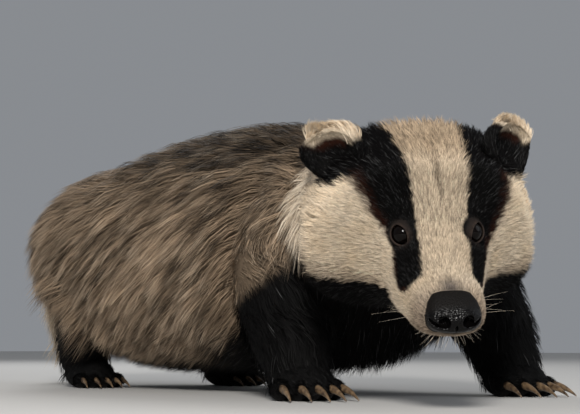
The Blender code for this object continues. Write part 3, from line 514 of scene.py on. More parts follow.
markPlan = {
    # what takes the head's marks, in its millimetres: how far back above and below a height, and its limits
    "crownFrom": 15, "crownReach": 208, "cheekReach": 152, "headLow": -84, "headHalf": 100,
    "cream": rgb(240, 224, 201), "creamWarm": rgb(235, 214, 184), "black": rgb(6, 5, 5),
    "muzzleGrey": rgb(84, 79, 80), "muzzleRim": rgb(150, 131, 114), "eyeRim": rgb(50, 42, 38),
    "stripe": rgb(212, 193, 168), "parting": rgb(72, 57, 43), "crownGrey": rgb(158, 138, 114),
    "rust": rgb(84, 44, 28), "root": rgb(172, 149, 124), "band": rgb(24, 19, 16), "tip": rgb(220, 203, 180),
    "noseSkin": rgb(7, 6, 6), "lidSkin": rgb(30, 24, 21), "lidEdge": rgb(56, 45, 39),
    # the pale lobe behind the cheek, in the head's millimetres: back edge by height, lower and top edges
    "lobeUp": (-99, -87, -75, -66, -54, -49, -41, -36, -10),
    "lobeBack": (160, 165, 169, 176, 186, 192, 202, 208, 222),
    "lobeAlong": (105, 130, 150, 170, 182, 195), "lobeLow": (-25, -29, -42, -62, -82, -110),
    "lobeTop": (60, 40, 22, 6, -4, -12),
    # how far back and how high the fold of the flank runs, in metres, with a painted highlight along it and
    # painted shade behind it
    "fold": ((0.10, 0.152), (0.127, 0.143), (0.147, 0.127), (0.175, 0.111), (0.206, 0.098), (0.232, 0.082),
             (0.276, 0.056)),
    # half width of the centre stripe, right and left, against millimetres back from the nose tip
    "stripeBack": (0, 20, 33, 50, 66, 87, 115, 141, 160),
    "stripeRight": (11, 13, 13.9, 13.7, 14.4, 14.6, 15.4, 18, 20),
    "stripeLeft": (12, 15, 16.6, 17.3, 18.4, 20.9, 26, 29, 31),
    # where the black ends above the cheek, in degrees up round the section
    "cheekBack": (30, 36, 44, 52, 60, 76, 100, 126, 150),
    "cheekRight": (60, 20, 8, 22, 40, 46, 48, 41, 28), "cheekLeft": (60, 20, 8, 18, 28, 36, 43, 40, 20),
    # where the cheek ends above the dark throat, in degrees round the section
    "throatBack": (0, 36, 46, 56, 66, 80, 96, 112, 150),
    "throatUp": (-90, -88, -40, -8, -5, -9, -12, -13, -14),
    "levelBack": (2, 9, 22, 38, 55, 70, 87, 104, 122, 156),
    "level": (-2, -3, -5, -6, -6, -10, -12, -12, -10, -8),
    # height of the dark underside against distance back along the body, in metres
    "darkBack": (-0.12, -0.05, -0.01, 0.008, 0.028, 0.05, 0.10, 0.15, 0.20, 0.26, 0.30, 0.34, 0.40, 0.46),
    "darkUp": (0.112, 0.104, 0.112, 0.097, 0.086, 0.078, 0.064, 0.048, 0.038, 0.036, 0.052, 0.064, 0.056, 0),
}


def isHead(points):
    p, (x, y, z) = markPlan, intoHead(points).T / mm
    reach = np.where(z > p["crownFrom"], p["crownReach"], p["cheekReach"])
    return (y < reach) & (z > p["headLow"]) & (np.abs(x) < p["headHalf"])


def blend(a, b, share):
    return a + (b - a) * share[:, None]


def headMarks(local):  # local in millimetres; gives colours and how grizzled the hair is
    p, x, y, z = markPlan, local[:, 0], local[:, 1], local[:, 2]
    level = np.interp(y, p["levelBack"], p["level"])
    up = np.degrees(np.arctan2(z - level, np.abs(x)))
    frayed = ripple(local, 5.0, 3) * 0.8
    stripe, cheek = (np.where(x < 0, *(np.interp(y, p[f"{edge}Back"], p[f"{edge}{side}"])
                                       for side in ("Right", "Left"))) for edge in ("stripe", "cheek"))
    throat = np.interp(y, p["throatBack"], p["throatUp"])
    black = ease(-1, 1, (np.abs(x) - stripe) * 1.1 + frayed) * ease(-2.5, 2.5, up - cheek + frayed * 3)
    black = black * ease(33, 37.5, y + frayed)
    white = blend(p["cream"], p["creamWarm"], 0.5 + 0.5 * ripple(local, 30, 5))
    white = blend(white, p["stripe"], 0.9 * (np.abs(x) < stripe + 3) * ease(24, 40, y))
    parting = np.exp(-((x - 3.7 - 0.8 * np.sin(y / 9)) / 1.1) ** 2) * ease(78, 90, y) * ease(152, 140, y)
    parting = np.maximum(parting, 0.45 * np.exp(-((x - 8 - (y - 120) * 0.1) / 2.4) ** 2) * ease(112, 128, y))
    white = blend(white, p["parting"], 0.9 * parting)
    bridge = np.exp(-(x / 7.0) ** 2 - ((y - 22) / 8.0) ** 2) * (z > 5)
    white = blend(white, p["muzzleRim"], 0.8 * ease(40, 10, y + frayed))
    white = blend(white, p["muzzleGrey"], 0.8 * bridge)
    white = blend(white, p["crownGrey"], 0.85 * ease(92, 135, y) * (np.abs(x) < stripe + 4))
    shadow = ease(16, 1, up - throat + frayed * 3) * ease(20, 40, y)  # painted shade: the cheek darkens to brown towards the throat
    white = blend(white, p["muzzleRim"], 0.45 * shadow)
    onEar, rust = np.zeros(len(x)), np.zeros(len(x))
    for name in ("left", "right"):  # the ears are black, with a pale tufted rim
        inEar = intoEar(name, local * mm)
        thisEar = ease(1.42, 1.22, np.linalg.norm(inEar, axis=1))
        onEar = np.maximum(onEar, thisEar)
        black = np.maximum(black, thisEar * ease(-0.95, -0.65, inEar[:, 2]))
        shell = np.linalg.norm(inEar[:, [0, 2]], axis=1)
        angle = np.degrees(np.arctan2(inEar[:, 2], inEar[:, 0]))
        low, high = earPlan[name]["rim"]
        onRim = ease(0.62, 0.76, shell + frayed * 0.03) * thisEar
        black = black * (1 - onRim * ease(low - 8, low + 6, angle) * ease(high + 8, high - 6, angle))
        rust = np.maximum(rust, ease(0.35, 0.6, shell) * thisEar * ease(low, low + 30, angle)
                          * (inEar[:, 1] < 0.2) * ease(high + 20, high - 20, angle))
    # the black is rusty where it meets the cheek
    rust = np.maximum(rust, 0.7 * ease(9, 1, up - cheek + frayed * 4) * (z > -20) * (1 - onEar))
    colour = blend(white, blend(p["black"], p["rust"], 0.45 * rust), black)
    colour = blend(colour, p["black"], ease(2, -2, up - throat + frayed * 3))
    for side in (1, -1):  # thin dusky hair on the lids
        near = aroundEye(side, local * mm)
        colour = blend(colour, p["black"], ease(1.9, 1.5, near + frayed * 0.1))
        colour = blend(colour, p["eyeRim"], 0.7 * ease(1.5, 1.2, near))
    start = np.where(np.abs(x) < stripe + 2, 160, 180)  # the black runs further back than the stripe
    nape = ease(0, 26, y + frayed * 4 - start) * (z > 15) * (1 - onEar)
    return blend(colour, p["root"], nape), 0.8 * nape


def bodyMarks(points):
    p, x, y, z = markPlan, points[:, 0], points[:, 1], points[:, 2]
    rough = ripple(points, 0.035, 11) * 0.008
    dark = np.interp(y, p["darkBack"], p["darkUp"])
    under = ease(0.010, -0.010, z + rough - dark)
    inside = ease(0.070, 0.045, np.abs(x) + rough) * ease(0.095, 0.075, z + rough)
    under = np.maximum(under, inside)
    # the pale cheek runs on as a lobe down the side of the neck
    local = intoHead(points) / mm
    u, v, w = np.abs(local[:, 0]), local[:, 1], local[:, 2]
    fray = rough / mm * 0.6
    lobe = ease(6, -6, v + fray - np.interp(w, p["lobeUp"], p["lobeBack"])) * ease(30, 44, u + fray)
    lobe = lobe * ease(-5, 5, w + fray - np.interp(v, p["lobeAlong"], p["lobeLow"]))
    lobe = lobe * ease(8, -8, w + fray - np.interp(v, p["lobeAlong"], p["lobeTop"]))
    base = blend(p["root"], p["cream"], lobe)
    foldBack, foldUp = np.array(p["fold"]).T  # a painted highlight along the fold, with painted shade behind it
    gap = np.interp(y, foldBack, foldUp) - z + rough * 0.5
    along = ease(0.09, 0.12, y) * ease(0.29, 0.25, y) * ease(0.03, 0.06, np.abs(x))
    light = np.exp(-(gap / 0.016) ** 2) * along
    behind = np.exp(-((gap + 0.030) / 0.013) ** 2) * along
    back = ease(0.165, 0.205, z + rough) * ease(0.36, 0.16, y)
    shoulder = ease(0.07, 0.0, np.abs(y - 0.06) - 0.03 + rough)
    base = blend(base, base * 1.12, light)
    base = base * (1 - 0.60 * back)[:, None]
    # the painted shade behind the fold makes the hair bands heavier and darker, and the painted highlight
    # makes them lighter
    heavy = 0.25 * behind + 0.45 * back + 0.22 * shoulder - 0.40 * light + 0.25 * ripple(points, 0.06, 17)
    heavy = np.clip(heavy, -1, 1) + 0.60 * ripple(points, 0.036, 19)
    tail = ease(0.425, 0.455, y)
    grizzle = (1 - lobe) * np.clip(0.78 + 0.45 * heavy, 0.15, 1.2) * (1 - 0.55 * tail)
    base = blend(base, p["tip"], tail)
    black = under * (1 - tail)
    return blend(base, p["black"], black), grizzle * (1 - black)


def marksAt(points):  # points in the body's frame
    colour, grizzle = bodyMarks(points)
    onHead = isHead(points)
    if onHead.any():
        colour[onHead], grizzle[onHead] = headMarks(intoHead(points[onHead]) / mm)
    return colour, grizzle


nosePlan = {
    # millimetres back from the nose tip: back, half width, top, bottom, widest level, squareness
    "sections": (
        (-3.2, 7.0, 5.2, 1.0, 3.2, 2.2), (-1.0, 12.5, 8.8, -1.4, 3.5, 2.3), (3.5, 16.2, 12.2, -4.8, 3.5, 2.5),
        (9.0, 17.2, 14.3, -8.0, 3, 2.7), (15.0, 16.6, 15.6, -8.0, 3, 2.9), (19.5, 14.4, 15.9, -3.0, 5, 3.0),
    ),
    "nostril": (0.0074, -0.0002, 0.0066), "nostrilHalf": (0.0034, 0.0070, 0.0033),
    "slitShift": (0.0060, 0.0015, -0.0014), "slitHalf": (0.0052, 0.0050, 0.0012),
    "groove": (0, -0.0030, 0.0015), "grooveHalf": (0.0007, 0.0024, 0.0055),
    "turn": (-20, -14), "voxel": 0.00055, "smoothing": 4,
}


def inNose(local):  # what the nose pad covers, in the head's millimetres
    rows = np.array(nosePlan["sections"])
    half, top, bottom, level = (np.interp(local[:, 1], rows[:, 0], column) for column in rows[:, 1:5].T)
    reach = np.where(local[:, 2] > level, top - level, level - bottom) + 0.6
    ring = np.abs(local[:, 0] / (half + 0.6)) ** 2.5 + np.abs((local[:, 2] - level) / reach) ** 2.5
    return (ring < 1) & (local[:, 1] < rows[-1, 0])


# Coat: flat tapered hairs in tufts that follow the lie, each with its patch of the OFBake map

skinTree = BVHTree.FromPolygons(pointsOf(skin).tolist(), trianglesOf(skin).tolist())
patch = 0.003  # across a tuft's patch of the map
coatPlan = {
    # how far these vary: from tuft to tuft and from hair to hair, or only from hair to hair
    "lift": (0.35, 0.25), "length": (0.22, 0.16), "width": 0.3, "rise": 0.18,
    "rootLift": 1.45, "gather": 1.2,  # a hair lifts most at its root, and leans to its tuft towards its tip
    "floorGap": 0.0015,  # no hair hangs lower than this
    "reach": 0.004,  # how far from the skin a root may start
    "gathered": 0.02,  # how much of a hair's distance from its tuft's leader stays on the map
    "shownAt": 0.6,  # how far along it a hair takes the marking's colour
    "tapers": {1: (1.0,), 2: (0.9, 0.8), 3: (0.8, 1.0, 0.62)},  # its width at each step, by its steps
    "glint": 0.08,  # how much the painted glints lighten the few hairs in the black that carry them
}


def scatter(grid, count, weight, draw, corner, size):  # roots over a grid, their lie and place on the map
    a, b, c, d = grid[:-1, :-1], grid[:-1, 1:], grid[1:, 1:], grid[1:, :-1]
    area = np.linalg.norm(np.cross(c - a, d - b), axis=-1) / 2
    chance = (area * weight((a + b + c + d) / 4)).ravel()
    pick = draw.choice(len(chance), count, p=chance / chance.sum())
    i, j = np.divmod(pick, grid.shape[1] - 1)
    s, t = draw.random((2, count))
    near = grid[i, j] * (1 - t)[:, None] + grid[i, j + 1] * t[:, None]
    far = grid[i + 1, j] * (1 - t)[:, None] + grid[i + 1, j + 1] * t[:, None]
    place = np.stack([(j + t) / (grid.shape[1] - 1), (i + s) / (grid.shape[0] - 1)], 1)
    return near + (far - near) * s[:, None], unit(far - near), np.array(corner) + place * size


def settle(roots, lies, places, reach):  # onto the skin, dropping what lies too far from it
    kept, spots, normals = [], [], []
    for n, root in enumerate(roots):
        spot, normal, _, _ = skinTree.find_nearest(root, reach)
        if spot is not None:
            kept.append(n)
            spots.append(spot)
            normals.append(normal)
    return np.array(spots), np.array(normals), lies[kept], places[kept]


def nearestLeader(roots, leaders):
    tree = KDTree(len(leaders))
    for n, spot in enumerate(leaders):
        tree.insert(roots[spot], n)
    tree.balance()
    return np.array([tree.find(root)[1] for root in roots])


def hairPaths(look, roots, normals, lies, length, rise, share, common, leaders, tuft):
    steps = look["steps"]
    lies = unit(lies - normals * dot(lies, normals))
    across = np.cross(normals, lies)
    lifted, longer = (1 + coatPlan[name][0] * common[:, k:k + 1] + coatPlan[name][1] * share[:, k:k + 1]
                      for k, name in ((1, "lift"), (2, "length")))
    swing = np.radians(look["swing"] * common[:, :1] + 0.5 * look["swing"] * share[:, :1])
    ahead = unit(lies * np.cos(swing) + across * np.sin(swing))
    lift, long = np.radians(look["lift"] * lifted), length[:, None] * longer
    points = [roots - normals * look["sunk"]]
    for step in range(steps):
        t = step / max(steps - 1, 1)
        slope = lift * (coatPlan["rootLift"] - look["bend"] * t)
        way = ahead * np.cos(slope) + normals * np.sin(slope)
        way = unit(way - np.array((0, 0, look["droop"] * t)) + across * look["wave"] * share[:, 3:4] * t)
        points.append(points[-1] + way * long / steps)
    points = np.stack(points, 1)  # hair, step, xyz
    lead = points[leaders][tuft]
    away = points[:, 0] - lead[:, 0]
    for step in range(1, steps + 1):  # the tips draw in to their tuft's leader
        aim = lead[:, step] + away * look["spread"]
        points[:, step] += (aim - points[:, step]) * look["pull"] * (step / steps) ** coatPlan["gather"]
    height = ((points - points[:, :1]) * normals[:, None]).sum(-1)  # no hair stands higher than the coat
    rise = rise * (1 + coatPlan["rise"] * share[:, 0])
    spare = 1 - np.minimum(rise / np.maximum(height.max(1), 1e-6), 1)[:, None]
    points -= normals[:, None] * (height * spare)[..., None]
    points[..., 2] = np.maximum(points[..., 2], coatPlan["floorGap"])
    return points


def hairStrips(name, look, points, normals, draw):  # each path as a flat tapered strip
    n, steps = len(points), look["steps"]
    roll = np.radians(look["roll"]) * draw.uniform(-1, 1, (n, 1))
    way = unit(points[:, -1] - points[:, 0])
    side = unit(np.cross(way, normals))
    side = unit(side * np.cos(roll) + np.cross(way, side) * np.sin(roll))
    half = look["width"] * mm / 2 * (1 + coatPlan["width"] * draw.uniform(-1, 1, (n, 1)))
    rows = []
    for step, taper in enumerate(coatPlan["tapers"][steps]):
        rows += [points[:, step] - side * half * taper, points[:, step] + side * half * taper]
    rows = np.stack([*rows, points[:, -1]], 1)
    start = (np.arange(n) * (2 * steps + 1))[:, None]
    quads = np.concatenate([np.zeros((0, 4), int),
                            *(start + (2 * k, 2 * k + 1, 2 * k + 3, 2 * k + 2) for k in range(steps - 1))])
    tips = start + (2 * steps - 2, 2 * steps - 1, 2 * steps)
    return meshObject(name, rows.reshape(-1, 3) + baseShift, [quads, tips])


def hairColours(look, colour, grizzle, share, common, t, draw):  # t runs from root to tip
    fleck = (0.5 + 0.5 * common[:, 3:4])[..., None]  # some tufts are mostly dark
    heavy = ease(0.0, 1.0, fleck * 1.1 + grizzle[:, None, None] * look["fleck"] - 0.75)
    band = ease(0.28, 0.55, t + 0.10 * share[:, 1][:, None, None]) * ease(1.06 + heavy, 0.80 + heavy, t)
    hair = np.tile(colour[:, None], (1, t.shape[1], 1))  # pale root, dark band and pale tip where grizzled
    banded = hair + (markPlan["band"] - hair) * band * (0.35 + 0.65 * heavy)
    banded = banded + (markPlan["tip"] - banded) * ease(0.80, 1.0, t) * (1 - heavy) * 0.6
    hair = hair + (banded - hair) * grizzle[:, None, None]
    calm = 1 - 0.6 * ease(0.56, 0.68, colour.mean(1))  # the pale cheeks are the most even
    uneven = calm * (look["shade"] * common[:, 4] * (0.4 + 0.6 * grizzle) + look["mixed"] * share[:, 0])
    hair = hair * (1 + uneven[:, None, None])
    hair = hair * (1 - 0.5 * (draw.random((len(hair), 1, 1)) < look["pepper"] * calm[:, None, None]))
    hair = hair * (look["rootShade"] + (1 - look["rootShade"]) * ease(0, 0.6, t))
    # painted glints: a few hairs in the black are lightened towards their tips
    glint = (draw.random((len(hair), 1, 1)) < look["glint"]) * (hair.max(-1, keepdims=True) < 0.02)
    hair = hair + glint * coatPlan["glint"] * ease(0.1, 0.7, t)
    return np.clip(hair, 0, 1).reshape(-1, 3)


def paintPoints(obj, colour):  # what the hair materials read
    rgba = np.ones((len(colour), 4), np.float32)
    rgba[:, :3] = colour
    obj.data.attributes.new("coatColour", "FLOAT_COLOR", "POINT").data.foreach_set("color", rgba.ravel())


def growCoat(name, look, roots, normals, lies, places, length, rise, colour, grizzle, seed):
    draw = np.random.default_rng(seed)
    n, steps = len(roots), look["steps"]
    leaders = draw.choice(n, max(2, n // look["tuft"]), replace=False)
    tuft = nearestLeader(roots, leaders)
    share = draw.uniform(-1, 1, (n, 4))  # what varies from hair to hair
    common = draw.uniform(-1, 1, (len(leaders), 5))[tuft]  # and from tuft to tuft
    points = hairPaths(look, roots, normals, lies, length, rise, share, common, leaders, tuft)
    coat = hairStrips(name, look, points, normals, draw)
    along = np.array([*(np.arange(steps).repeat(2) / steps), 1.0])
    paintPoints(coat, hairColours(look, colour, grizzle, share, common, along[None, :, None], draw))
    # each tuft's patch lies round its root's place on the unwrap of the skin
    tuftPlace = places[leaders][tuft]
    spot = tuftPlace[:, None] + (places - tuftPlace)[:, None] * coatPlan["gathered"]
    grow = np.stack([np.array([*([-0.5, 0.5] * steps), 0.0]), along - 0.5], 1) * patch
    loops = readOut(coat.data.loops, "vertex_index", 1, np.int32)[:, 0]
    uv = np.clip((spot + grow[None]).reshape(-1, 2)[loops], 0, 1)
    coat.data.uv_layers.new(name="OFBake").uv.foreach_set("vector", uv.astype(np.float32).ravel())
    return coat


# Finishes

def material(name, rough, specular, colour=(0.8, 0.8, 0.8)):
    made = bpy.data.materials.new(name)
    made.use_nodes = True
    shader = made.node_tree.nodes["Principled BSDF"]
    shader.inputs["Roughness"].default_value = rough
    shader.inputs["Specular IOR Level"].default_value = specular
    shader.inputs["Base Color"].default_value = (*colour, 1)
    return made


def partsOf(made):
    return made.node_tree.nodes, made.node_tree.links, made.node_tree.nodes["Principled BSDF"]


def grained(made, texture, output, scale, detail=2):  # a texture laid on in the object's own space
    nodes, links, _ = partsOf(made)
    place, grain = nodes.new("ShaderNodeTexCoord"), nodes.new(texture)
    grain.inputs["Scale"].default_value, grain.inputs["Detail"].default_value = scale, detail
    links.new(place.outputs["Object"], grain.inputs["Vector"])
    return grain.outputs[output]


def bump(made, strength, distance, scale, texture="ShaderNodeTexNoise", output="Fac", detail=2):
    nodes, links, shader = partsOf(made)
    grain = grained(made, texture, output, scale, detail)
    relief = nodes.new("ShaderNodeBump")
    relief.inputs["Strength"].default_value, relief.inputs["Distance"].default_value = strength, distance
    links.new(grain, relief.inputs["Height"])
    links.new(relief.outputs["Normal"], shader.inputs["Normal"])
    return grain


def between(made, value, low, high):  # a value from 0 to 1 brought between two others
    nodes, links, _ = partsOf(made)
    level = nodes.new("ShaderNodeMapRange")
    level.inputs["To Min"].default_value, level.inputs["To Max"].default_value = low, high
    links.new(value, level.inputs["Value"])
    return level.outputs["Result"]


def colourRamp(made, value, colours, ends=(0, 1)):
    nodes, links, shader = partsOf(made)
    ramp = nodes.new("ShaderNodeValToRGB")
    for stop, place, colour in zip(ramp.color_ramp.elements, ends, colours):
        stop.position, stop.color = place, (*colour, 1)
    links.new(value, ramp.inputs["Fac"])
    links.new(ramp.outputs["Color"], shader.inputs["Base Color"])


def hairMaterial(name, rough, specular):  # each hair's own colour, broken by a fine grain
    made = material(name, rough, specular)
    nodes, links, shader = partsOf(made)
    paint = nodes.new("ShaderNodeAttribute")
    paint.attribute_name = "coatColour"
    mix = nodes.new("ShaderNodeVectorMath")
    mix.operation = "MULTIPLY"
    links.new(paint.outputs["Color"], mix.inputs[0])
    links.new(between(made, grained(made, "ShaderNodeTexNoise", "Fac", 420), 0.80, 1.16), mix.inputs[1])
    links.new(mix.outputs["Vector"], shader.inputs["Base Color"])
    return made


softHair = hairMaterial("softHair", 0.65, 0.07)
bristleHair = hairMaterial("bristleHair", 0.6, 0.10)
underCoat = hairMaterial("underCoat", 0.8, 0.15)
bump(underCoat, 0.5, 0.0015, 900)


def paintSkin(obj):
    points = pointsOf(obj)
    colour, grizzle = marksAt(points)
    colour = colour * skinPlan["shade"] * (1 - 0.5 * grizzle[:, None])  # the shaded undercoat
    local = intoHead(points) / mm
    colour[inNose(local)] = markPlan["noseSkin"]
    for side in (1, -1):  # bare lids, paler along their inner edge
        near = aroundEye(side, local * mm)
        lid = ease(1.45, 1.25, near)
        inner = ease(1.16, 1.05, near) * ease(-0.4, 0.6, ripple(local, 4, 23) + 0.3)
        colour = blend(blend(colour, markPlan["lidSkin"], lid), markPlan["lidEdge"], lid * inner * 0.7)
    paintPoints(obj, colour)


def dress(obj, finish, slot, *nodes):
    obj.data.materials.clear()
    obj.data.materials.append(finish)
    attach(obj, "root")
    if nodes:
        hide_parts(*nodes)
    return obj


# The coat's pieces: length in millimetres, counts, and the look of the hairs

mapPlan = {  # where each part's unwrap lies on the map: corner and size
    "head": ((0.01, 0.01), (0.48, 0.40)), "trunk": ((0.51, 0.01), (0.48, 0.60)),
    "tail": ((0.01, 0.43), (0.2, 0.14)), "ears": ((0.23, 0.43), (0.12, 0.14)),
    "legs": ((0.01, 0.60), (0.11, 0.18)), "paws": ((0.51, 0.64), (0.016, 0.16)),
}
# angles in degrees, width in millimetres, the depth that a root is sunk in metres, tuft in hairs
shortLook = {
    "steps": 1, "tuft": 6, "swing": 15, "lift": 16, "bend": 0.8, "droop": 0.0, "wave": 0.1, "spread": 0.9,
    "pull": 0.2, "roll": 35, "width": 0.36, "sunk": 0.0004, "fleck": 0.0, "shade": 0.60, "mixed": 0.22,
    "pepper": 0.12, "glint": 0.07, "rootShade": 0.25,
}
midLook = {
    "steps": 3, "tuft": 7, "swing": 14, "lift": 20, "bend": 0.95, "droop": 0.10, "wave": 0.12, "spread": 0.8,
    "pull": 0.3, "roll": 40, "width": 0.46, "sunk": 0.001, "fleck": 0.4, "shade": 0.45, "mixed": 0.20,
    "pepper": 0.12, "glint": 0.05, "rootShade": 0.30,
}
longLook = {
    "steps": 3, "tuft": 14, "swing": 15, "lift": 24, "bend": 1.05, "droop": 0.34, "wave": 0.10, "spread": 0.4,
    "pull": 0.45, "roll": 45, "width": 0.55, "sunk": 0.003, "fleck": 0.85, "shade": 0.42, "mixed": 0.20,
    "pepper": 0.05, "glint": 0.02, "rootShade": 0.42,
}
# hairs' lengths in millimetres by distance back, on the head in its millimetres and on the neck in metres
lengthPlan = {
    "headBack": (0, 10, 25, 45, 70, 90, 110, 140, 160), "head": (2.8, 3.4, 4.2, 5.2, 7, 9.5, 13, 18, 22),
    "neckBack": (-0.13, -0.05, 0.02), "neck": (22, 34, 46),
    "lids": 1.6, "roundEyes": (0.0085, 0.020), "more": 5.4, "offEyes": (0.020, 0.05), "most": 30,
}
# how high the coat stands: where the crown and the rump lie sleek, and by how much
risePlan = {"crownBack": (88, 104), "crownUp": (0, 20), "crownSleek": 0.75, "least": 0.0006,
            "rumpBack": (0.24, 0.36), "rumpSleek": 0.45}
# how the lie turns: aside and down from the parting on the head, off the eyes, and down the body's sides
liePlan = {"partBack": (0.060, 0.12), "partHalf": 0.03, "aside": 0.30, "down": 0.25, "eyeReach": 0.012,
           "offEyes": 0.9, "side": (0.3, 0.9), "hang": 0.55, "paw": (0, -1, -0.1)}
coatPieces = []


def coatOver(name, grids, part, count, look, weight, lengthOf, riseOf, seed, finish, slot, bendLie=None):
    draw = np.random.default_rng(seed)
    corner, size = mapPlan[part]
    share = int(count * coatShare / len(grids))
    found = [scatter(grid, share, weight, draw, np.array(corner) + (size[0] * n, 0), size)
             for n, grid in enumerate(grids)]
    roots, lies, places = (np.concatenate(column) for column in zip(*found))
    roots, normals, lies, places = settle(roots, lies, places, look.get("reach", coatPlan["reach"]))
    bare = inNose(intoHead(roots) / mm)  # the nose and the lids carry no hair
    for side in (1, -1):
        bare |= aroundEye(side, intoHead(roots)) < skinPlan["bareLid"]
    roots, normals, lies, places = (column[~bare] for column in (roots, normals, lies, places))
    if bendLie:
        lies = bendLie(roots, lies, normals)
    length = lengthOf(roots)
    lies = unit(lies - normals * dot(lies, normals))
    colour, grizzle = marksAt(roots + lies * length[:, None] * coatPlan["shownAt"])
    coat = growCoat(name, look, roots, normals, lies, places, length, riseOf(roots), colour, grizzle,
                    seed + 1)
    coatPieces.append(dress(coat, finish, slot))
    print(name, len(roots), "hairs", len(coat.data.polygons), "faces")


def headRise(points):  # from the skin to the tips of the coat
    back, coat = np.array(headPlan["sections"])[:, [0, -1]].T
    x, y, z = intoHead(points).T / mm
    crown = ease(*risePlan["crownBack"], y) * ease(*risePlan["crownUp"], z)
    sleek = 1 - risePlan["crownSleek"] * crown
    return np.interp(y, back, coat) * mm * (1 - headShare(y)) * sleek + risePlan["least"]


def trunkRise(points):
    back, coat = np.array(trunkPlan["stations"])[:, [1, -1]].T
    sleek = 1 - risePlan["rumpSleek"] * ease(*risePlan["rumpBack"], points[:, 1])
    return np.interp(points[:, 1], back, coat) * (1 - skinPlan["share"]) * sleek


def headLength(points):
    p, local = lengthPlan, intoHead(points) / mm
    long = np.interp(local[:, 1], p["headBack"], p["head"])
    for side in (1, -1):  # shortest beside the eyes
        near = np.linalg.norm(local * mm - eyeFrame(side)[0], axis=1)
        most = p["lids"] + p["more"] * ease(*p["roundEyes"], near) + p["most"] * ease(*p["offEyes"], near)
        long = np.minimum(long, most)
    return long * mm


def headLie(points, lies, normals):  # the hair parts on the crown, rounds the eyes and hangs on the cheeks
    p, local = liePlan, intoHead(points)
    lies = lies @ headTurn
    spread = ease(*p["partBack"], local[:, 1]) * np.clip(local[:, 0] / p["partHalf"], -1, 1)
    lies = lies + np.stack([p["aside"] * spread, 0 * spread, -p["down"] * np.abs(spread)], 1)
    for side in (1, -1):
        off = local - eyeFrame(side)[0]
        near = np.exp(-(np.linalg.norm(off, axis=1) / p["eyeReach"]) ** 2)
        lies = lies + unit(off) * p["offEyes"] * near[:, None]
    return unit(lies) @ headTurn.T


def bodyLie(points, lies, normals):
    side = ease(*liePlan["side"], np.abs(normals[:, 0]))
    return unit(lies - np.array((0, 0, liePlan["hang"])) * side[:, None])


def headWeight(low, high, under=1.0):  # thinned below the jaw by under
    def weight(points):
        local = intoHead(points) / mm
        y = local[..., 1]
        share = np.where(local[..., 2] < -30, under, 1.0)
        return ease(low - 4, low + 4, y) * ease(high + 4, high - 4, y) * share
    return weight


def bodyWeight(low, high):
    def weight(points):
        y = points[..., 1]
        return ease(low - 0.01, low + 0.01, y) * ease(high + 0.01, high - 0.01, y)
    return weight


def pawWeight(points):  # none on the soles
    return 1.0 * (points[..., 2] > 0.004)


def pawLie(points, lies, normals):
    return unit(np.tile(liePlan["paw"], (len(points), 1)))


def neckLength(points):
    return np.interp(points[:, 1], lengthPlan["neckBack"], lengthPlan["neck"]) * mm


def flat(value):
    return lambda points: np.full(len(points), value * mm)


print("coats")
headCore = [outOfHead(headGrid())]
headCoats = {  # count, look, from and to in millimetres back from the nose tip, seed
    "face_coat": (110000, {**shortLook, "width": 0.4, "shade": 0.85, "mixed": 0.3}, headWeight(-5, 62), 21),
    "brow_coat": (165000, {**shortLook, "lift": 17, "width": 0.4, "mixed": 0.45, "pepper": 0.24, "shade": 1.0,
                           "glint": 0.045}, headWeight(62, 100), 31),
    "crown_coat": (62000, {**midLook, "steps": 2, "mixed": 0.38, "pepper": 0.20, "shade": 0.85},
                   headWeight(94, 160, 0.8), 41),
}
for name, (count, look, weight, seed) in headCoats.items():
    coatOver(name, headCore, "head", count, look, weight, headLength, headRise, seed, softHair, "white_coat",
             headLie)
trunkCoats = {  # from and to in metres along the body, length, look, seed
    "neck_coat": (-0.2, 0.02, neckLength, {**longLook, "lift": 21}, 51),
    "body_coat_1": (0.02, 0.16, flat(50), longLook, 61), "body_coat_2": (0.16, 0.30, flat(50), longLook, 71),
    "body_coat_3": (0.30, 0.50, flat(50), longLook, 81),
}
for name, (low, high, lengthOf, look, seed) in trunkCoats.items():
    coatOver(name, [trunkCore], "trunk", 36000, look, bodyWeight(low, high), lengthOf, trunkRise, seed,
             bristleHair, "grey_coat", bodyLie)
everywhere = bodyWeight(-1, 1)
pawTops = [grid for grids, _ in paws.values() for grid in (grids[0], *grids[2:])]  # palms and toes
earSkins = [outOfHead(earBall(name, earPlan[part], -shift)) for name in ("left", "right")
            for part, shift in (("half", 0), ("cup", earPlan["cupShift"]))]
limbCoats = {  # grids, map, count, look, weight, length, rise, seed, finish, slot
    "leg_coat": (list(legGrids.values()), "legs", 26000, {**midLook, "lift": 18, "width": 0.6, "glint": 0.01},
                 everywhere, flat(16), flat(6), 101, bristleHair, "black_coat"),
    "tail_coat": ([tailGrid], "tail", 12000, {**longLook, "width": 0.8, "reach": 0.006},
                  everywhere, flat(48), flat(16), 111, bristleHair, "grey_coat"),
    "paw_coat": (pawTops, "paws", 36000, {**shortLook, "lift": 14, "reach": 0.0015},
                 pawWeight, flat(5.5), flat(2), 121, bristleHair, "black_coat", pawLie),
    "ear_coat": (earSkins, "ears", 60000, {**shortLook, "lift": 12, "reach": 0.001},
                 everywhere, flat(4.0), flat(1.4), 131, softHair, "black_coat"),
}
for name, plan in limbCoats.items():
    coatOver(name, *plan)


rimPlan = {"count": 2600, "long": 0.0095, "pointed": 0.0065, "rise": 0.006, "seed": 141,
           "depth": 0.22, "inset": 0.985, "lie": (0.0, -0.15, 0.55), "pointFrom": (95, 122),
           "look": {**midLook, "lift": 30, "width": 0.5, "tuft": 10, "fleck": 0.0, "rootShade": 0.9,
                    "mixed": 0.08, "shade": 0.1, "pepper": 0.0}}


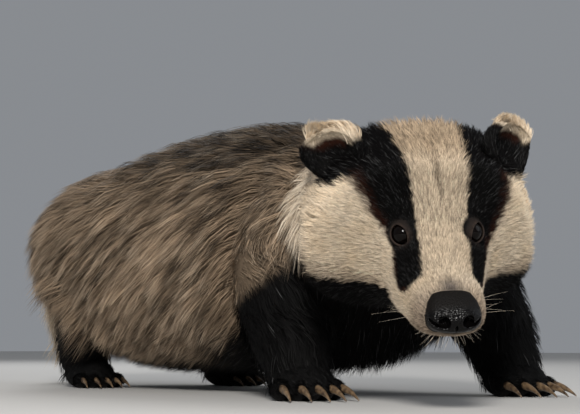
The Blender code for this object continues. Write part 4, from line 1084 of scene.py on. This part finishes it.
def rimCoat():  # longer pale tufts standing off the ears' edges
    draw = np.random.default_rng(rimPlan["seed"])
    half, found = earPlan["half"], []
    for number, name in enumerate(("left", "right")):
        centre, turn = earFrame(name)
        count = int(rimPlan["count"] * coatShare)
        angle = np.radians(draw.uniform(*earPlan[name]["rim"], count))
        x, z = np.cos(angle), np.sin(angle)
        depth = draw.normal(0, rimPlan["depth"], count)
        tall = np.where(z > 0, earPlan[name]["tall"], 1)
        inset = rimPlan["inset"]
        spot = np.stack([x * half[0] * inset, depth * half[1], z * half[2] * inset * tall], 1)
        spot = spot * np.sqrt(np.maximum(1 - depth ** 2, 0.3))[:, None]
        out = unit(np.stack([x / half[0], depth / half[1] * 0.4, z / half[2]], 1))
        lie = unit(out * 0.5 + rimPlan["lie"])
        # the outer end of the right ear's rim runs out into a point
        far = ease(*rimPlan["pointFrom"], np.degrees(angle)) * (name == "right")
        found.append((outOfHead(centre + spot @ turn.T), lie @ turn.T @ headTurn.T, out @ turn.T @ headTurn.T,
                      np.stack([0.40 + 0.04 * number + 0.03 * angle / 3.2, 0.45 + 0.02 * depth], 1),
                      rimPlan["long"] + rimPlan["pointed"] * far))
    roots, lies, normals, places, long = (np.concatenate(column) for column in zip(*found))
    colour = np.tile(markPlan["cream"], (len(roots), 1))
    coat = growCoat("ear_rim_coat", rimPlan["look"], roots, normals, lies, places, long, rimPlan["rise"],
                    colour, np.zeros(len(roots)), rimPlan["seed"] + 1)
    coatPieces.append(dress(coat, softHair, "white_coat"))


rimCoat()
print("hair faces in all", sum(len(coat.data.loops) - 2 * len(coat.data.polygons) for coat in coatPieces))


# Eyes, nose, claws and whiskers

horn = material("hornClaw", 0.38, 0.5)
colourRamp(horn, bump(horn, 0.35, 0.0004, 260), (rgb(58, 44, 34), rgb(140, 116, 88)), (0.3, 0.75))
wetEye = material("wetEye", 0.03, 0.12)
colourRamp(wetEye, bump(wetEye, 0.02, 0.0001, 300), (rgb(3, 2, 2), rgb(13, 8, 6)))

for side, name in ((1, "left"), (-1, "right")):
    centre, turn = eyeFrame(side)
    ballPoints = outOfHead(ballGrid(centre, (eyePlan["radius"],) * 3, turn, 48, 72))
    dress(closedLoft(f"eyeball_{name}", ballPoints + baseShift), wetEye, "eye", f"eye_{name}")


def makeNose():
    rows = curveThrough(nosePlan["sections"], 6)
    back, half, top, bottom, level, square = (column[:, None] for column in rows.T)
    angle = roundAngles(72)
    c, s = np.cos(angle), np.sin(angle)
    x = half * squared(c, square)
    z = level + np.where(s > 0, top - level, level - bottom) * squared(s, square)
    grid = np.stack([x, back + 0 * x, z], -1) * mm
    nose = closedLoft("nose_pad", grid)
    cutters = []
    for side in (1, -1):
        hole = np.array(nosePlan["nostril"]) * (side, 1, 1)
        slit = hole + np.array(nosePlan["slitShift"]) * (side, 1, 1)
        turn = turned(0, *(side * angle for angle in nosePlan["turn"]))
        cutters.append(closedLoft("hole", ballGrid(hole, nosePlan["nostrilHalf"], turn, 16, 24)))
        cutters.append(closedLoft("slit", ballGrid(slit, nosePlan["slitHalf"], turn, 16, 24)))
    groove = ballGrid(nosePlan["groove"], nosePlan["grooveHalf"], np.eye(3), 16, 24)
    cutters.append(closedLoft("groove", groove))
    joined(nose, cutters, "DIFFERENCE")
    remeshed(nose, nosePlan["voxel"], nosePlan["smoothing"])
    local = pointsOf(nose) / mm  # the top of the pad is dry and greyer
    dry = ease(4.5, 9.5, local[:, 1] + 0.35 * local[:, 2] - 3 + 0.8 * ripple(local, 5, 9))
    dry = dry * ease(6, 9, local[:, 2])
    nose.data.attributes.new("dryness", "FLOAT", "POINT").data.foreach_set("value", dry.astype(np.float32))
    movePoints(nose, outOfHead(pointsOf(nose)) + baseShift)
    nose.data.shade_smooth()
    return nose


leather = material("noseLeather", 0.3, 0.15)
bump(leather, 0.55, 0.0006, 900, "ShaderNodeTexVoronoi", "Distance", 0)
nodes, links, shader = partsOf(leather)
dryness = nodes.new("ShaderNodeAttribute")
dryness.attribute_name = "dryness"
colourRamp(leather, dryness.outputs["Fac"], (rgb(5, 4, 4), rgb(11, 8, 6)))
links.new(between(leather, dryness.outputs["Fac"], 0.24, 0.62), shader.inputs["Roughness"])
dress(makeNose(), leather, "nose_leather", "nose")


def makeClaws(name):
    kind = pawPlan[legPlan[name]["kind"]]
    angle, t = roundAngles(16), np.linspace(0, 1, 15)[:, None]
    claws = []
    for root, fan in paws[name][1]:
        right = np.cross(fan, (0, 0, 1))
        centre = root + fan * kind["claw"] * t - np.array((0, 0, root[2] - toePlan["clawUp"])) * t ** 2.2
        radius = kind["clawRadius"] * (1 - toePlan["clawTaper"] * t ** 1.4)
        ring = centre[:, None] + right * (np.cos(angle) * radius * toePlan["clawNarrow"])[..., None]
        ring = ring + np.array((0, 0, 1)) * np.maximum(np.sin(angle) * radius, -root[2])[..., None]
        ring[..., 2] = np.maximum(ring[..., 2], toePlan["clawGap"])
        claws.append(closedLoft("claw", ring))
    node = legPlan[name]["node"]
    claws = together(f"{node}_claws", claws, baseShift)
    dress(claws, horn, "horn", *[f"{node}_claw_{number}" for number in range(1, 6)])


for name in legPlan:
    makeClaws(name)

whiskerPlan = {
    # on the lip: place on the head in millimetres, and how far the hair points out to its side
    "lip": ((-13, 9, -4, 0.3), (-11, 5, -6, 0.1), (-8, 4, -7, 0.0), (-4, 3, -7, 0.0), (1, 3, -7, 0.0),
            (5, 4, -7, 0.1), (9, 5, -6, 0.1), (12, 7, -5, 0.3), (-15, 14, -8, 0.5), (14, 13, -8, 0.5),
            (-10, 14, -13, 0.4), (10, 14, -13, 0.4)),
    "long": ((17.6, 24, -6), (18.4, 30, -3), (-18, 25, -7), (-18.6, 31, -4), (19, 33, -8), (-19, 34, -9)),
    # how many grow at a place, their length and thickness in millimetres, and how far the tip thins
    "lipCount": 3, "lipLength": (6, 11), "lipThick": 0.10, "longCount": 2, "longLength": (16, 27),
    "longThick": 0.09, "taper": 0.85, "colour": rgb(214, 204, 188), "seed": 151,
}


def whiskers():
    p, draw = whiskerPlan, np.random.default_rng(whiskerPlan["seed"])
    points, quads = [], []

    def hair(root, way, long, bend, thick):
        t = np.linspace(0, 1, 7)[:, None]
        line = root * mm + unit(way) * long * mm * t + np.array(bend) * long * mm * t ** 2
        across = unit(np.cross(way, (0.3, 1, 0.2)))
        for turnedBy in (across, unit(np.cross(way, across))):
            side = turnedBy * thick * mm * (1 - p["taper"] * t)
            start = sum(len(p) for p in points)
            points.append(np.concatenate([line - side, line + side]))
            k = np.arange(6)
            quads.append(np.stack([k, k + 1, k + 8, k + 7], 1) + start)

    for x, y, z, out in p["lip"]:
        for _ in range(p["lipCount"]):
            spot = np.array((x, y, z)) + draw.normal(0, 0.9, 3)
            way = np.array((x / 16 + out * np.sign(x), -0.25, -1.0)) + draw.normal(0, 0.12, 3)
            long = draw.uniform(*p["lipLength"])
            hair(spot, way, long, draw.normal(0, 0.05, 3) + (0, 0.1, 0), p["lipThick"])
    for x, y, z in p["long"]:
        for _ in range(p["longCount"]):
            spot = np.array((x, y, z)) + draw.normal(0, 1.0, 3)
            way = np.array((np.sign(x), 0.15, 0.05)) + draw.normal(0, 0.13, 3)
            hair(spot, way, draw.uniform(*p["longLength"]), (0, 0.05, -0.12), p["longThick"])
    made = meshObject("whiskers", outOfHead(np.concatenate(points)) + baseShift, [np.concatenate(quads)])
    finish = material("whiskerHair", 0.45, 0.4, p["colour"])
    bump(finish, 0.1, 0.0001, 500)
    dress(made, finish, "white_coat")


whiskers()
paintSkin(skin)
movePoints(skin, pointsOf(skin) + baseShift)
limbs = [f"{leg['node']}_{part}" for leg in legPlan.values() for part in ("leg", "paw")]
dress(skin, underCoat, "grey_coat", "head", "lower_jaw", "neck", "torso", "tail", "ear_left", "ear_right",
      *limbs)


# Floor, lights and camera

studioPlan = {
    "corners": ((-6, -6, 0), (6, -6, 0), (6, 9, 0), (-6, 9, 0)), "floor": (0.62, 0.61, 0.59),
    "sky": (0.80, 0.84, 0.90), "skyStrength": 0.31,
    # each light's place, aim, size, power and tint
    "lights": {"key": ((-1.35, -1.35, 0.95), (-0.08, 0.0, 0.10), 0.45, 36, (1.0, 0.97, 0.93)),
               "fill": ((0.9, -1.6, 0.9), (-0.08, 0.0, 0.10), 1.4, 7, (0.93, 0.96, 1.0)),
               "rim": ((0.7, 1.5, 1.5), (0, 0.2, 0.15), 1.0, 14, (1, 1, 1))},
}


def makeFloor():
    floor = meshObject("floor", np.array(studioPlan["corners"], float), [np.array([[0, 1, 2, 3]])])
    paper = material("paleFloor", 0.9, 0.1, studioPlan["floor"])
    bump(paper, 0.04, 0.001, 60)
    floor.data.materials.append(paper)


def areaLight(name, at, aim, size, power, tint):
    light = bpy.data.lights.new(name, "AREA")
    light.shape, light.size, light.energy, light.color = "DISK", size, power, tint
    lamp = bpy.data.objects.new(name, light)
    bpy.context.scene.collection.objects.link(lamp)
    lamp.location = at
    lamp.rotation_euler = (Vector(aim) - Vector(at)).to_track_quat("-Z", "Y").to_euler()


makeFloor()
world = bpy.data.worlds.new("studio")
bpy.context.scene.world = world
world.use_nodes = True
sky = world.node_tree.nodes["Background"].inputs
sky["Color"].default_value, sky["Strength"].default_value = (*studioPlan["sky"], 1), studioPlan["skyStrength"]
for name, plan in studioPlan["lights"].items():
    areaLight(name, *plan)

# the camera's focal length in pixels of a picture 580 wide, and its sensor's width in millimetres
cameraPlan = {"at": (-0.697, -0.650, 0.040), "turn": (96.94, 0, -42.2), "focal": 1150, "picture": 580,
              "sensor": 36}
camera = bpy.data.objects.new("camera", bpy.data.cameras.new("camera"))
bpy.context.scene.collection.objects.link(camera)
camera.data.sensor_width = cameraPlan["sensor"]
camera.data.lens = cameraPlan["focal"] / cameraPlan["picture"] * cameraPlan["sensor"]
camera.data.clip_start, camera.data.clip_end = 0.01, 60
camera.location = Vector(np.array(cameraPlan["at"]) + baseShift)
camera.rotation_euler = [math.radians(a) for a in cameraPlan["turn"]]
bpy.context.scene.camera = camera
bpy.context.scene.view_settings.view_transform = "Standard"
